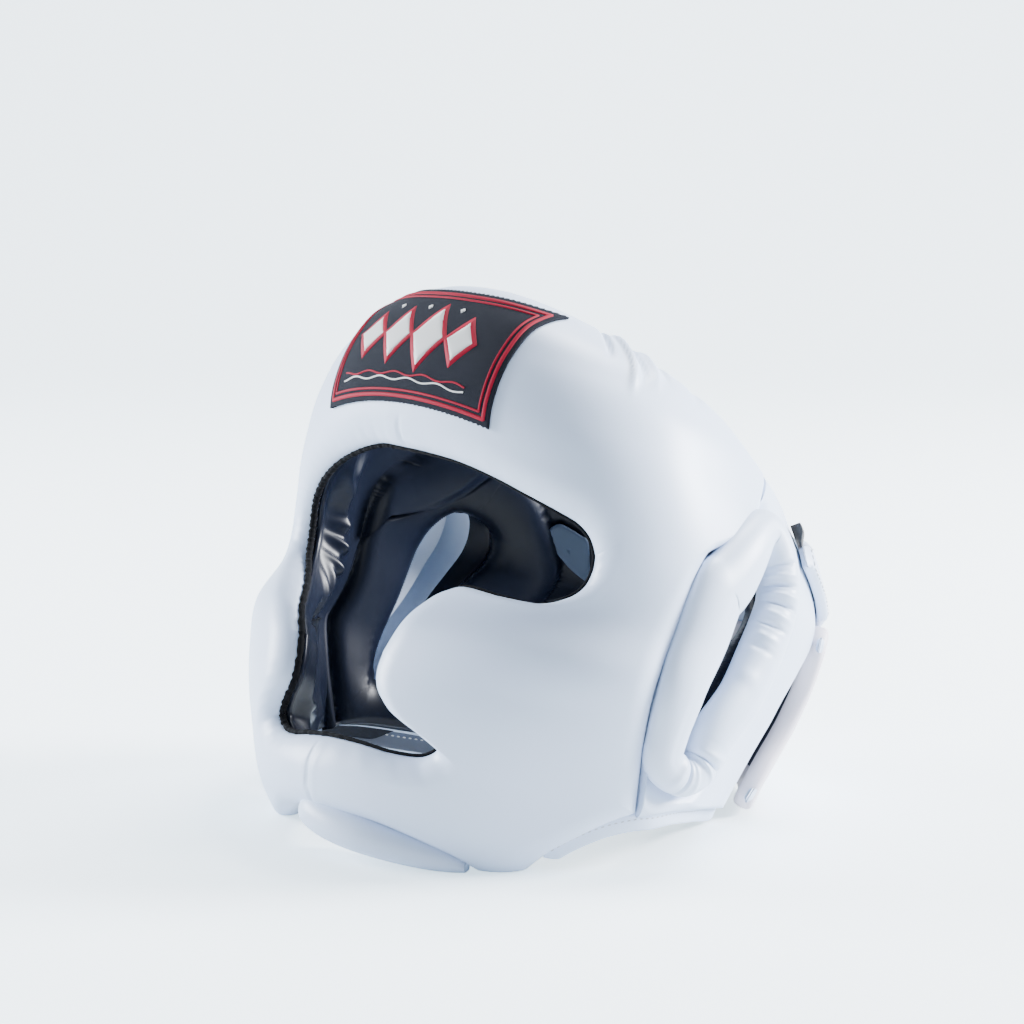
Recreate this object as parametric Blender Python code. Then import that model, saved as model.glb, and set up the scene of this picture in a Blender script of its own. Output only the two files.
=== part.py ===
# Full-face boxing head guard of padded leather, resting on its lower edge.
# Metres, +Z up. The face looks to -Y and the wearer's left is +X.

import bpy
import numpy as np

MM = 0.001

# Driving dimensions of the head form, the outermost padded surface
CROWN_HEIGHT = 240 * MM
CHEEK_HALF_WIDTH = 115 * MM
REAR_HALF_WIDTH = 107 * MM
FRONT_REACH = 105 * MM
BACK_REACH = 121 * MM
CROWN_TILT = 0.142
LEAN_DEG = 18.0
PRESSED = 1.6 * MM

# Padding, leather and gaps
PAD = 19 * MM
LINING = 2.6 * MM
GAP = 0.35 * MM
LINING_GAP = 0.9 * MM
TRIM_GAP = 0.6 * MM
PANEL_GAP = 1.2 * MM
SEAM_DEPTH = 8 * MM
SEAM_LIP = 1.4 * MM
EDGE_ROLL = 13 * MM

# Rear panels and ear rings
PANEL_SUNK = 0.5 * MM
PANEL_UNDER_RING = 8.5 * MM
PANEL_DEPTH = 15 * MM
PANEL_EDGE_DIP = 5 * MM
RING_STANDS = 6.5 * MM
RING_CREST = 0.62

# Trim, binding, patch, flap, strap and chin pad
TRIM_RADIUS = 1.1 * MM
BINDING_HEIGHT = 6.5 * MM
BINDING_THICK = 3 * MM
PATCH_HALF_WIDTH = 45 * MM
PATCH_THICK = 1.2 * MM
PATCH_GAP = 1.0 * MM
FLAP_THICK = 4 * MM
FLAP_STANDS = 0.3 * MM
FLAP_CLEARANCE = 8 * MM
FLAP_BINDING_RADIUS = 2.3 * MM
STRAP_THICK = 4 * MM
STRAP_HEIGHT = 38 * MM
HOOK_THICK = 1.5 * MM
CHIN_PAD_THICK = 16.6 * MM

# Grid counts
SHELL_AROUND = 60
SHELL_ACROSS = (0.0, 0.04, 0.13, 0.32, 0.6, 0.83, 0.94, 1.0)
PANEL_AROUND = 36

# Sections of the head form: height as a share of CROWN_HEIGHT, half width as a share of
# CHEEK_HALF_WIDTH, y of the widest point and front y as shares of FRONT_REACH, squareness,
# rear half width as a share of REAR_HALF_WIDTH and back y as a share of BACK_REACH
FORM = np.array([
    (-0.042, 0.748, 0.019, -0.400, 1.70, 0.710, 0.661),
    (0.021, 0.809, 0.029, -0.686, 1.70, 0.748, 0.711),
    (0.104, 0.870, 0.019, -0.914, 1.80, 0.785, 0.760),
    (0.208, 0.930, 0.000, -0.990, 1.95, 0.822, 0.810),
    (0.333, 0.983, -0.029, -1.000, 2.20, 0.888, 0.893),
    (0.417, 1.000, -0.057, -0.952, 2.40, 0.944, 0.950),
    (0.500, 0.974, -0.095, -0.829, 2.40, 0.981, 0.992),
    (0.604, 0.939, -0.171, -0.857, 2.40, 1.000, 1.000),
    (0.688, 0.896, -0.229, -0.924, 2.30, 0.963, 0.950),
    (0.771, 0.835, -0.248, -0.981, 2.20, 0.888, 0.835),
    (0.854, 0.748, -0.229, -0.952, 2.20, 0.804, 0.678),
    (0.917, 0.626, -0.200, -0.876, 2.20, 0.673, 0.496),
    (0.967, 0.417, -0.162, -0.752, 2.20, 0.449, 0.281),
    (1.000, 0.157, -0.133, -0.571, 2.20, 0.168, 0.050),
])

# The shell, once round the face opening, seen as pairs of points on the head form.
# Columns: opening angle in degrees from the nose line, opening height, outer edge angle,
# outer edge height (heights as shares of CROWN_HEIGHT), and how far the edge is pinched
# shut, 1 at the crown and the lower edge, 0 along the ears
SHELL = np.array([
    (-3.0, 0.683, 0.0, 0.988, 1.0),
    (4.0, 0.679, 12.0, 0.988, 1.0),
    (12.0, 0.673, 26.0, 0.987, 1.0),
    (21.0, 0.661, 42.0, 0.983, 1.0),
    (30.0, 0.646, 60.0, 0.973, 1.0),
    (38.0, 0.634, 78.0, 0.954, 1.0),
    (44.0, 0.624, 94.0, 0.931, 1.0),
    (47.5, 0.607, 109.0, 0.902, 1.0),
    (48.5, 0.583, 121.0, 0.858, 0.6),
    (47.6, 0.561, 105.0, 0.735, 0.1),
    (45.0, 0.534, 90.0, 0.650, 0.0),
    (40.5, 0.5145, 80.0, 0.560, 0.0),
    (33.0, 0.4995, 74.5, 0.490, 0.0),
    (23.0, 0.501, 72.6, 0.420, 0.0),
    (12.5, 0.502, 72.0, 0.360, 0.0),
    (7.2, 0.465, 72.5, 0.290, 0.0),
    (6.8, 0.375, 74.0, 0.204, 0.5),
    (8.6, 0.324, 72.0, 0.196, 0.8),
    (14.0, 0.284, 70.0, 0.188, 1.0),
    (21.5, 0.259, 66.0, 0.168, 1.0),
    (27.8, 0.2365, 58.0, 0.120, 1.0),
    (25.0, 0.2135, 46.5, 0.050, 1.0),
    (17.5, 0.2085, 34.5, 0.048, 1.0),
    (9.0, 0.213, 18.0, 0.082, 1.0),
    (0.0, 0.214, 0.0, 0.100, 1.0),
    (-9.0, 0.208, -18.0, 0.082, 1.0),
    (-16.0, 0.202, -34.0, 0.049, 1.0),
    (-22.0, 0.205, -46.0, 0.050, 1.0),
    (-24.5, 0.226, -55.0, 0.099, 1.0),
    (-21.5, 0.255, -62.0, 0.146, 1.0),
    (-17.5, 0.288, -69.0, 0.183, 1.0),
    (-16.0, 0.329, -72.0, 0.196, 0.8),
    (-16.5, 0.379, -74.0, 0.204, 0.5),
    (-20.5, 0.430, -72.5, 0.290, 0.0),
    (-27.0, 0.467, -72.0, 0.360, 0.0),
    (-35.0, 0.491, -72.6, 0.420, 0.0),
    (-42.0, 0.507, -74.5, 0.490, 0.0),
    (-47.0, 0.530, -80.0, 0.560, 0.0),
    (-49.0, 0.556, -90.0, 0.650, 0.0),
    (-48.5, 0.585, -105.0, 0.735, 0.1),
    (-45.5, 0.606, -121.0, 0.858, 0.6),
    (-40.5, 0.622, -109.0, 0.902, 1.0),
    (-35.0, 0.635, -94.0, 0.931, 1.0),
    (-29.0, 0.648, -78.0, 0.954, 1.0),
    (-23.0, 0.660, -60.0, 0.973, 1.0),
    (-17.0, 0.671, -42.0, 0.983, 1.0),
    (-12.0, 0.679, -26.0, 0.987, 1.0),
    (-7.5, 0.684, -12.0, 0.988, 1.0),
])

# The left ear, once round the ear hole. Columns: angle and height of the ear hole, of the
# ear ring's outline and of the rear panel's outline, and how far the ring stands out as a
# share of RING_STANDS
EAR = np.array([
    (112.0, 0.700, 116.5, 0.790, 121.0, 0.858, 0.60),
    (109.0, 0.688, 105.5, 0.720, 105.0, 0.735, 0.70),
    (104.0, 0.643, 92.5, 0.637, 91.0, 0.644, 0.90),
    (100.0, 0.590, 82.2, 0.554, 80.0, 0.560, 1.00),
    (97.5, 0.528, 77.0, 0.486, 74.5, 0.490, 1.00),
    (95.6, 0.462, 75.2, 0.420, 72.6, 0.420, 1.00),
    (94.0, 0.400, 74.9, 0.362, 72.0, 0.360, 1.00),
    (92.8, 0.345, 75.6, 0.303, 72.5, 0.290, 1.00),
    (93.5, 0.312, 79.0, 0.251, 74.0, 0.204, 0.90),
    (96.5, 0.306, 92.0, 0.262, 90.0, 0.232, 0.80),
    (99.8, 0.330, 103.0, 0.310, 120.5, 0.246, 0.70),
    (101.3, 0.385, 109.5, 0.378, 121.5, 0.315, 0.60),
    (104.0, 0.448, 114.5, 0.445, 123.0, 0.385, 0.45),
    (107.5, 0.505, 118.5, 0.508, 125.5, 0.450, 0.35),
    (112.0, 0.560, 122.5, 0.572, 134.0, 0.533, 0.30),
    (116.0, 0.612, 126.0, 0.640, 147.0, 0.625, 0.30),
    (118.0, 0.660, 127.0, 0.713, 150.0, 0.750, 0.35),
    (116.5, 0.692, 123.0, 0.768, 138.0, 0.825, 0.45),
])

# Middle line of the under-chin pad: x as a share of CHEEK_HALF_WIDTH, y as a share of
# FRONT_REACH, height and depth of its section as shares of CHIN_PAD_THICK
CHIN_PAD = np.array([
    (-0.110, -0.660, 0.30, 0.30),
    (-0.095, -0.672, 0.70, 0.80),
    (-0.050, -0.688, 0.98, 1.15),
    (0.030, -0.695, 1.05, 1.25),
    (0.120, -0.685, 1.12, 1.20),
    (0.220, -0.655, 0.86, 1.00),
    (0.300, -0.620, 0.58, 0.75),
    (0.360, -0.585, 0.25, 0.50),
    (0.400, -0.565, 0.15, 0.25),
])

# Where the flap, patch, strap and hook tape lie: angles from the nose line, and heights as
# shares of CROWN_HEIGHT
FLAP_FROM_DEG, FLAP_TO_DEG = 136.0, 234.0
FLAP_HIGH = 0.582
PATCH_LOW, PATCH_ARCH, PATCH_HIGH = 0.733, 0.017, 0.946
STRAP_FROM_DEG, STRAP_TO_DEG = 127.0, 230.0
STRAP_MIDDLE = 0.705
HOOK_TO_DEG = 150.0


def eased(t):
    """0 below 0, 1 above 1, and a smooth step between."""
    t = np.clip(t, 0, 1)
    return t * t * (3 - 2 * t)


def rounded(d, radius):
    """A quarter circle from 0 at an edge to 1 at radius away from it."""
    t = np.clip(d / radius, 0, 1)
    return np.sqrt(1 - (1 - t) ** 2)


def along(table, value, column):
    """A table's column, read at a value of its first column through a smooth curve."""
    x, y = table[:, 0], table[:, column]
    slope = np.gradient(y, x)
    i = np.clip(np.searchsorted(x, value) - 1, 0, len(x) - 2)
    step = x[i + 1] - x[i]
    t = np.clip((value - x[i]) / step, 0, 1)
    return (y[i] * (2 * t**3 - 3 * t**2 + 1) + step * slope[i] * (t**3 - 2 * t**2 + t)
            + y[i + 1] * (3 * t**2 - 2 * t**3) + step * slope[i + 1] * (t**3 - t**2))


def closed_curve(table, count, corners):
    """Rows of a closed table, read at evenly spaced places by a smooth curve with some corners."""
    rows = len(table)
    slope = (np.roll(table, -1, axis=0) - np.roll(table, 1, axis=0)) / 2
    slope[list(corners)] = 0
    place = np.arange(count) * rows / count
    i = place.astype(int)
    t = (place - i)[:, None]
    following = (i + 1) % rows
    return (table[i] * (2 * t**3 - 3 * t**2 + 1) + slope[i] * (t**3 - 2 * t**2 + t)
            + table[following] * (3 * t**2 - 2 * t**3) + slope[following] * (t**3 - t**2))


def head_form(angle, share):
    """Point of the head form, upright: sections are squarish ovals, wide in front, rounder behind."""
    width = along(FORM, share, 1) * CHEEK_HALF_WIDTH
    widest = along(FORM, share, 2) * FRONT_REACH
    front = along(FORM, share, 3) * FRONT_REACH
    square = along(FORM, share, 4)
    rear_width = along(FORM, share, 5) * REAR_HALF_WIDTH
    back = along(FORM, share, 6) * BACK_REACH
    c, s = np.cos(angle), np.sin(angle)
    turned = np.abs((angle + np.pi) % (2 * np.pi) - np.pi)
    to_rear = eased((turned - np.radians(75)) / np.radians(40))
    width = width + (rear_width - width) * to_rear
    square = square + (2 - square) * to_rear
    reach = np.where(c > 0, widest - front, back - widest)
    y = widest - reach * np.sign(c) * np.abs(c) ** (2 / square)
    x = width * np.sign(s) * np.abs(s) ** (2 / square)
    height = share * CROWN_HEIGHT
    fall = CROWN_TILT * np.clip((height - CROWN_HEIGHT / 2) * 2.4 / CROWN_HEIGHT, 0, None)
    z = height - fall * (y + 0.57 * FRONT_REACH)
    return np.stack([x, y, z], -1)


def outward(angle, share):
    """Unit normal of the head form, from its two tangents."""
    across = head_form(angle + 0.002, share) - head_form(angle - 0.002, share)
    up = head_form(angle, share + 0.002) - head_form(angle, share - 0.002)
    normal = np.cross(across, up)
    return normal / np.linalg.norm(normal, axis=-1, keepdims=True)


def on_form(angle, share, depth):
    """Point at a depth under the head form, leaned back as the guard rests."""
    point = head_form(angle, share) - outward(angle, share) * np.asarray(depth)[..., None]
    lean = np.radians(LEAN_DEG)
    x, y, z = point[..., 0], point[..., 1], point[..., 2]
    return np.stack([x, y * np.cos(lean) + z * np.sin(lean), z * np.cos(lean) - y * np.sin(lean)], -1)


# The floor passes just above the lowest point of the jaw, where the padding presses flat
JAW_DEG, JAW_SHARE = 46.0, 0.066
FLOOR = float(on_form(np.radians(JAW_DEG), np.array(JAW_SHARE), 0.0)[2]) + PRESSED


def share_above_floor(angle, height, share):
    """Share of CROWN_HEIGHT at which the head form is at a height above the floor."""
    share = share + np.zeros(angle.shape)
    for _ in range(8):
        share = share + (height + FLOOR - on_form(angle, share, 0.0)[..., 2]) / CROWN_HEIGHT
    return share


def rested(points):
    """Points with the floor at z = 0, and flattened where they rest on it."""
    moved = points - np.array([0, 0, FLOOR])
    moved[..., 2] = np.maximum(moved[..., 2], 0)
    return moved


def material(name, colour, roughness):
    made = bpy.data.materials.new(name)
    made.use_nodes = True
    shader = made.node_tree.nodes["Principled BSDF"]
    shader.inputs["Base Color"].default_value = (*colour, 1)
    shader.inputs["Roughness"].default_value = roughness
    made.diffuse_color = (*colour, 1)
    return made


def add_object(name, points, faces, finish):
    mesh = bpy.data.meshes.new(name)
    mesh.from_pydata(points.tolist(), [], [tuple(map(int, face)) for face in faces])
    mesh.materials.append(finish)
    mesh.shade_smooth()
    made = bpy.data.objects.new(name, mesh)
    bpy.context.scene.collection.objects.link(made)
    return made


def quads(rows, columns, start, wrap):
    """Faces of a grid of points stored row by row, whose rows may close into a loop."""
    i = np.arange(rows if wrap else rows - 1)[:, None]
    j = np.arange(columns - 1)[None, :]
    a = start + i * columns + j
    b = start + (i + 1) % rows * columns + j
    return np.stack([a, b, b + 1, a + 1], -1).reshape(-1, 4)


def add_ring_wall(name, outer, inner, finish):
    """A closed wall between two grids that both go once round an opening."""
    rows, columns = outer.shape[:2]
    size = rows * columns
    points = rested(np.concatenate([outer.reshape(-1, 3), inner.reshape(-1, 3)]))
    faces = [quads(rows, columns, 0, True), quads(rows, columns, size, True)[:, [0, 3, 2, 1]]]
    i = np.arange(rows)
    following = (i + 1) % rows
    for column, turned in ((0, True), (columns - 1, False)):
        a, b = i * columns + column, following * columns + column
        side = np.stack([a, a + size, b + size, b], -1)
        faces.append(side if turned else side[:, ::-1])
    return add_object(name, points, np.concatenate(faces), finish)


def add_sheet(name, outer, inner, finish):
    """A closed wall between two open grids of the same size."""
    rows, columns = outer.shape[:2]
    size = rows * columns
    points = rested(np.concatenate([outer.reshape(-1, 3), inner.reshape(-1, 3)]))
    faces = [quads(rows, columns, 0, False), quads(rows, columns, size, False)[:, [0, 3, 2, 1]]]
    index = np.arange(size).reshape(rows, columns)
    rim = np.concatenate([index[:, 0], index[-1, 1:], index[-2::-1, -1], index[0, -2:0:-1]])
    following = np.roll(rim, -1)
    faces.append(np.stack([rim, rim + size, following + size, following], -1))
    return add_object(name, points, np.concatenate(faces), finish)


def add_tube(name, middle, sides, radii, finish, closed, count=6):
    """A tube round a line of points. sides gives two unit directions across it at each point."""
    turn = np.arange(count) * 2 * np.pi / count
    first, second = sides
    points = (middle[:, None] + first[:, None] * (np.cos(turn) * radii[0])[None, :, None]
              + second[:, None] * (np.sin(turn) * radii[1])[None, :, None])
    rows = len(middle)
    i = np.arange(rows if closed else rows - 1)[:, None]
    j = np.arange(count)[None, :]
    following = (j + 1) % count
    faces = np.stack([i * count + j, i * count + following,
                      (i + 1) % rows * count + following, (i + 1) % rows * count + j], -1).reshape(-1, 4)
    faces = [tuple(face) for face in faces]
    if not closed:
        faces += [tuple(range(count))[::-1], tuple((rows - 1) * count + k for k in range(count))]
    return add_object(name, rested(points.reshape(-1, 3)), faces, finish)


def across_grid(inner, outer, steps):
    """Angles and heights of a grid from one closed outline to another."""
    s = np.asarray(steps)[None, :, None]
    grid = inner[:, None] * (1 - s) + outer[:, None] * s
    return grid[..., 0], grid[..., 1]


def lengths_across(angle, share):
    """Distance of each grid point from the first and from the last column, along its row."""
    points = head_form(angle, share)
    step = np.linalg.norm(np.diff(points, axis=1), axis=-1)
    first = np.concatenate([np.zeros((len(step), 1)), np.cumsum(step, axis=1)], axis=1)
    return first, first[:, -1:] - first


def with_radians(outline):
    return np.stack([np.radians(outline[:, 0]), outline[:, 1]], -1)


def directions(points, closed):
    """Unit direction along a line of points."""
    if closed:
        run = np.roll(points, -1, axis=0) - np.roll(points, 1, axis=0)
    else:
        run = np.gradient(points, axis=0)
    return run / np.linalg.norm(run, axis=-1, keepdims=True)


def moved(outline, distance, closed=True):
    """An outline moved sideways over the form, to its left as seen from outside."""
    angle, share = outline.T
    out = outward(angle, share)
    aside = np.cross(out, directions(head_form(angle, share), closed)) * distance
    around = (head_form(angle + 0.001, share) - head_form(angle - 0.001, share)) / 0.002
    up = (head_form(angle, share + 0.001) - head_form(angle, share - 0.001)) / 0.002
    a, b, c = (around * around).sum(-1), (around * up).sum(-1), (up * up).sum(-1)
    p, q = (aside * around).sum(-1), (aside * up).sum(-1)
    return outline + np.stack([c * p - b * q, a * q - b * p], -1) / (a * c - b * b)[:, None]


def tube_on_form(name, line, depth, radius, finish, closed):
    """A round cord along a line at a depth under the form."""
    middle = on_form(line[:, 0], line[:, 1], depth)
    out = middle - on_form(line[:, 0], line[:, 1], depth + MM)
    out /= np.linalg.norm(out, axis=-1, keepdims=True)
    across = np.cross(directions(middle, closed), out)
    return add_tube(name, middle, (out, across), (radius, radius), finish, closed)


def build_shell(white, black):
    """The main padded shell, its lining and the edging of the face opening."""
    rows = closed_curve(SHELL, SHELL_AROUND, corners=(8, 16, 32, 40))
    opening, edge, pinch = with_radians(rows[:, 0:2]), with_radians(rows[:, 2:4]), rows[:, 4:5]
    angle, share = across_grid(opening, edge, SHELL_ACROSS)
    from_opening, from_edge = lengths_across(angle, share)
    outer_depth = SEAM_DEPTH * (2 - rounded(from_opening, EDGE_ROLL) - rounded(from_edge, EDGE_ROLL))
    open_up = eased(from_opening / EDGE_ROLL) * (1 - pinch * (1 - eased(from_edge / EDGE_ROLL)))
    inner_depth = SEAM_DEPTH + SEAM_LIP + (PAD - SEAM_DEPTH - SEAM_LIP) * open_up
    add_ring_wall("shell", on_form(angle, share, outer_depth), on_form(angle, share, inner_depth), white)
    add_ring_wall("lining", on_form(angle, share, inner_depth + LINING_GAP),
                  on_form(angle, share, inner_depth + LINING_GAP + LINING), black)
    trim_line = moved(opening, -(TRIM_RADIUS + TRIM_GAP))
    tube_on_form("face_trim", trim_line, np.full(len(trim_line), SEAM_DEPTH + SEAM_LIP), TRIM_RADIUS, black, True)


def build_ear(side, white, black):
    """One ear: the rear panel round the ear hole, its lining and the padded ring on it."""
    name = "left" if side > 0 else "right"
    rows = closed_curve(EAR, PANEL_AROUND, corners=(0, 8, 10))
    rows = rows[::-1] if side > 0 else rows * np.array([-1, 1, -1, 1, -1, 1, 1])
    hole, ring, panel = (with_radians(rows[:, k:k + 2]) for k in (0, 2, 4))
    panel = moved(panel, -PANEL_GAP)
    near = across_grid(hole, ring, (0.0,))
    far = across_grid(ring, panel, (0.0, 0.25, 0.6, 0.85, 1.0))
    angle, share = (np.concatenate([a, b], axis=1) for a, b in zip(near, far))
    from_ring, from_edge = lengths_across(far[0], far[1])
    rise = eased(from_ring / EDGE_ROLL)
    beyond = PANEL_UNDER_RING + (PANEL_SUNK - PANEL_UNDER_RING) * rise
    beyond = beyond + PANEL_EDGE_DIP * (1 - rounded(from_edge, EDGE_ROLL)) * rise
    under = np.full(near[0].shape, PANEL_UNDER_RING)
    depth = np.concatenate([under, beyond], axis=1)
    add_ring_wall(f"rear_panel_{name}", on_form(angle, share, depth),
                  on_form(angle, share, np.full(depth.shape, PANEL_DEPTH)), white)

    top = np.full(depth.shape, PANEL_DEPTH + GAP)
    add_ring_wall(f"rear_lining_{name}", on_form(angle, share, top),
                  on_form(angle, share, top + LINING), black)

    steps = (0.0, 0.06, 0.2, 0.5, 0.8, 0.94, 1.0)
    ring_angle, ring_share = across_grid(hole, ring, steps)
    skew = np.log(0.5) / np.log(RING_CREST)
    arch = np.sqrt(1 - (2 * np.asarray(steps) ** skew - 1) ** 2)[None, :]
    base = PANEL_UNDER_RING - GAP
    top = base - MM - (base - MM + RING_STANDS * rows[:, 6:7]) * arch
    add_ring_wall(f"ear_ring_{name}", on_form(ring_angle, ring_share, top),
                  on_form(ring_angle, ring_share, np.full(top.shape, base)), white)


def build_patch(cloth):
    """The patch on the forehead, laid on the shell's outer face."""
    across = np.linspace(-1, 1, 11)[:, None]
    low = PATCH_LOW + PATCH_ARCH * (1 - across**2)
    share = low + (PATCH_HIGH - low) * np.linspace(0, 1, 8)[None, :]
    want = across * PATCH_HALF_WIDTH + np.zeros(share.shape)
    angle = want / FRONT_REACH
    for _ in range(12):
        angle = angle + (want - head_form(angle, share)[..., 0]) / FRONT_REACH
    lift = -PATCH_GAP
    add_sheet("forehead_patch", on_form(angle, share, np.full(share.shape, lift - PATCH_THICK)),
              on_form(angle, share, np.full(share.shape, lift)), cloth)


def build_back(white, black):
    """The lined flap round the back, its binding, the closure strap and the hook tape on it."""
    angle = np.radians(np.linspace(FLAP_FROM_DEG, FLAP_TO_DEG, 15))[:, None] + np.zeros((1, 6))
    low = share_above_floor(angle[:, :1], FLAP_CLEARANCE, 0.3)
    share = low + (FLAP_HIGH - low) * np.linspace(0, 1, 6)[None, :]
    stands = np.full(angle.shape, FLAP_STANDS)
    add_sheet("back_flap", on_form(angle, share, -stands - FLAP_THICK), on_form(angle, share, -stands), white)

    offset = FLAP_BINDING_RADIUS + GAP
    edges = np.stack([angle, share], -1)
    lower = moved(edges[::-1, 0], offset, False)
    upper = moved(edges[:, -1], offset, False)
    end = moved(np.concatenate([lower[-1:], edges[0, 1:-1], upper[:1]]), offset, False)
    line = np.concatenate([lower, end, upper])
    depth = np.full(len(line), -FLAP_STANDS - FLAP_THICK / 2)
    tube_on_form("flap_binding", line, depth, FLAP_BINDING_RADIUS, white, False)

    half = STRAP_HEIGHT / CROWN_HEIGHT / 2
    angle = np.radians(np.linspace(STRAP_FROM_DEG, STRAP_TO_DEG, 19))[:, None] + np.zeros((1, 4))
    share = STRAP_MIDDLE + np.linspace(-half, half, 4)[None, :] + np.zeros(angle.shape)
    stands = GAP * 4 + HOOK_THICK - PANEL_SUNK + np.zeros(angle.shape)
    add_sheet("closure_strap", on_form(angle, share, -stands - STRAP_THICK),
              on_form(angle, share, -stands), white)

    angle = np.radians(np.linspace(STRAP_FROM_DEG + 1, HOOK_TO_DEG, 6))[:, None] + np.zeros((1, 4))
    share = STRAP_MIDDLE + np.linspace(-half * 0.8, half * 1.08, 4)[None, :] + np.zeros(angle.shape)
    stands = GAP * 2 - PANEL_SUNK + np.zeros(angle.shape)
    add_sheet("hook_tape", on_form(angle, share, -stands - HOOK_THICK), on_form(angle, share, -stands), black)


def build_binding(side, white):
    """The stitched binding below the shell and the rear panel, from the jaw to the rear corner."""
    name = "left" if side > 0 else "right"
    edge = np.array([(56.0, 0.103), (60.0, 0.128), (66.0, 0.160), (74.0, 0.188), (80.0, 0.203),
                     (86.0, 0.217), (104.0, 0.230), (120.0, 0.239)])
    angle = np.radians(np.linspace(edge[0, 0], edge[-1, 0], 17))
    top = along(edge, np.degrees(angle), 1)
    share = np.stack([top - BINDING_HEIGHT / CROWN_HEIGHT, top], -1)
    angle = side * angle[:, None] + np.zeros(share.shape)
    if side < 0:
        angle, share = angle[::-1], share[::-1]
    depth = np.full(share.shape, SEAM_DEPTH - MM)
    add_sheet(f"bottom_binding_{name}", on_form(angle, share, depth),
              on_form(angle, share, depth + BINDING_THICK), white)


def build_chin_pad(white):
    """The small padded roll under the chin bar, flat where it rests, thinning to the near jaw."""
    place = CHIN_PAD[:, 0] * CHEEK_HALF_WIDTH
    forward = CHIN_PAD[:, 1] * FRONT_REACH
    tall = CHIN_PAD[:, 2:3] * CHIN_PAD_THICK / 2
    deep = CHIN_PAD[:, 3:4] * CHIN_PAD_THICK / 2
    middle = np.stack([place, forward, FLOOR + tall[:, 0] * 0.82], -1)
    run = np.gradient(middle, axis=0) * np.array([1, 1, 0])
    run /= np.linalg.norm(run, axis=-1, keepdims=True)
    up = np.zeros(middle.shape) + np.array([0, 0, 1.0])
    add_tube("under_chin_pad", middle, (up * tall, np.cross(run, up) * deep), (1, 1), white, False, 8)


def stand_on_origin():
    """Moves everything so that the box of the whole guard stands centred on the origin."""
    meshes = [made.data for made in bpy.data.objects]
    corners = []
    for mesh in meshes:
        points = np.empty(len(mesh.vertices) * 3)
        mesh.vertices.foreach_get("co", points)
        corners.append(points.reshape(-1, 3))
    every = np.concatenate(corners)
    low, high = every.min(axis=0), every.max(axis=0)
    shift = np.array([(low[0] + high[0]) / 2, (low[1] + high[1]) / 2, low[2]])
    for mesh, points in zip(meshes, corners):
        mesh.vertices.foreach_set("co", (points - shift).ravel())
        mesh.update()


def main():
    for made in list(bpy.data.objects):
        bpy.data.objects.remove(made)
    white = material("white_leather", (0.86, 0.88, 0.92), 0.45)
    black = material("black_lining", (0.02, 0.022, 0.03), 0.35)
    cloth = material("patch_cloth", (0.03, 0.035, 0.06), 0.8)
    tape = material("binding_leather", (0.80, 0.82, 0.86), 0.5)
    build_shell(white, black)
    for side in (1, -1):
        build_ear(side, white, black)
        build_binding(side, tape)
    build_patch(cloth)
    build_back(white, black)
    build_chin_pad(white)
    stand_on_origin()


main()
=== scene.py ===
# Looks of the boxing head guard: padded white leather, black lining, woven patch, straps and stitching.
# Every piece is a surface worked out over the same head form as the solids.

import bpy
import numpy as np
from mathutils import Matrix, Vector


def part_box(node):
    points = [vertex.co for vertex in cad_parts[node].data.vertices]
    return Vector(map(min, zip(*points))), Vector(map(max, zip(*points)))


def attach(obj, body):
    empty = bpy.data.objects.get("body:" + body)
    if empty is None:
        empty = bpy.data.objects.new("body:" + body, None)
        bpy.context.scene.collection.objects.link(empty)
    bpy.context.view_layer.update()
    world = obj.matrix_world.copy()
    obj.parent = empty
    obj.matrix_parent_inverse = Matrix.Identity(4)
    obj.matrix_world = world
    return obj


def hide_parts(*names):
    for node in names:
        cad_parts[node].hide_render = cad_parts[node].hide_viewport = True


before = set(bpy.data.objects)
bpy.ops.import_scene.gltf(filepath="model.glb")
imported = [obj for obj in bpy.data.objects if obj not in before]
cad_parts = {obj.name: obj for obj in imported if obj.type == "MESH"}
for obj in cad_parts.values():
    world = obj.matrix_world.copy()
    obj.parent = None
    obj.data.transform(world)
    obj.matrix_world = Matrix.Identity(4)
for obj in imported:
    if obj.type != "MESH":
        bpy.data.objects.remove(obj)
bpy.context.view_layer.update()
mm = 0.001
print("frame loaded")

# The head form. Columns: height as a share of crownHeight, half width as a share of cheekWidth,
# y of the widest point and front y as shares of frontReach, squareness, rear half width as a
# share of rearWidth, back y as a share of backReach.
head = {
    "crownHeight": 240 * mm, "cheekWidth": 115 * mm, "rearWidth": 107 * mm,
    "frontReach": 105 * mm, "backReach": 121 * mm, "crownTilt": 0.142,
    "leanDeg": 18.0, "pressed": 1.6 * mm, "jawDeg": 46.0, "jawShare": 0.066,
    "form": np.array([
        (-0.042, 0.748, 0.019, -0.400, 1.70, 0.710, 0.661),
        (0.021, 0.809, 0.029, -0.686, 1.70, 0.748, 0.711),
        (0.104, 0.870, 0.019, -0.914, 1.80, 0.785, 0.760),
        (0.208, 0.930, 0.000, -0.990, 1.95, 0.822, 0.810),
        (0.333, 0.983, -0.029, -1.000, 2.20, 0.888, 0.893),
        (0.417, 1.000, -0.057, -0.952, 2.40, 0.944, 0.950),
        (0.500, 0.974, -0.095, -0.829, 2.40, 0.981, 0.992),
        (0.604, 0.939, -0.171, -0.857, 2.40, 1.000, 1.000),
        (0.688, 0.896, -0.229, -0.924, 2.30, 0.963, 0.950),
        (0.771, 0.835, -0.248, -0.981, 2.20, 0.888, 0.835),
        (0.854, 0.748, -0.229, -0.952, 2.20, 0.804, 0.678),
        (0.917, 0.626, -0.200, -0.876, 2.20, 0.673, 0.496),
        (0.967, 0.417, -0.162, -0.752, 2.20, 0.449, 0.281),
        (1.000, 0.157, -0.133, -0.571, 2.20, 0.168, 0.050),
    ]),
}


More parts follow.
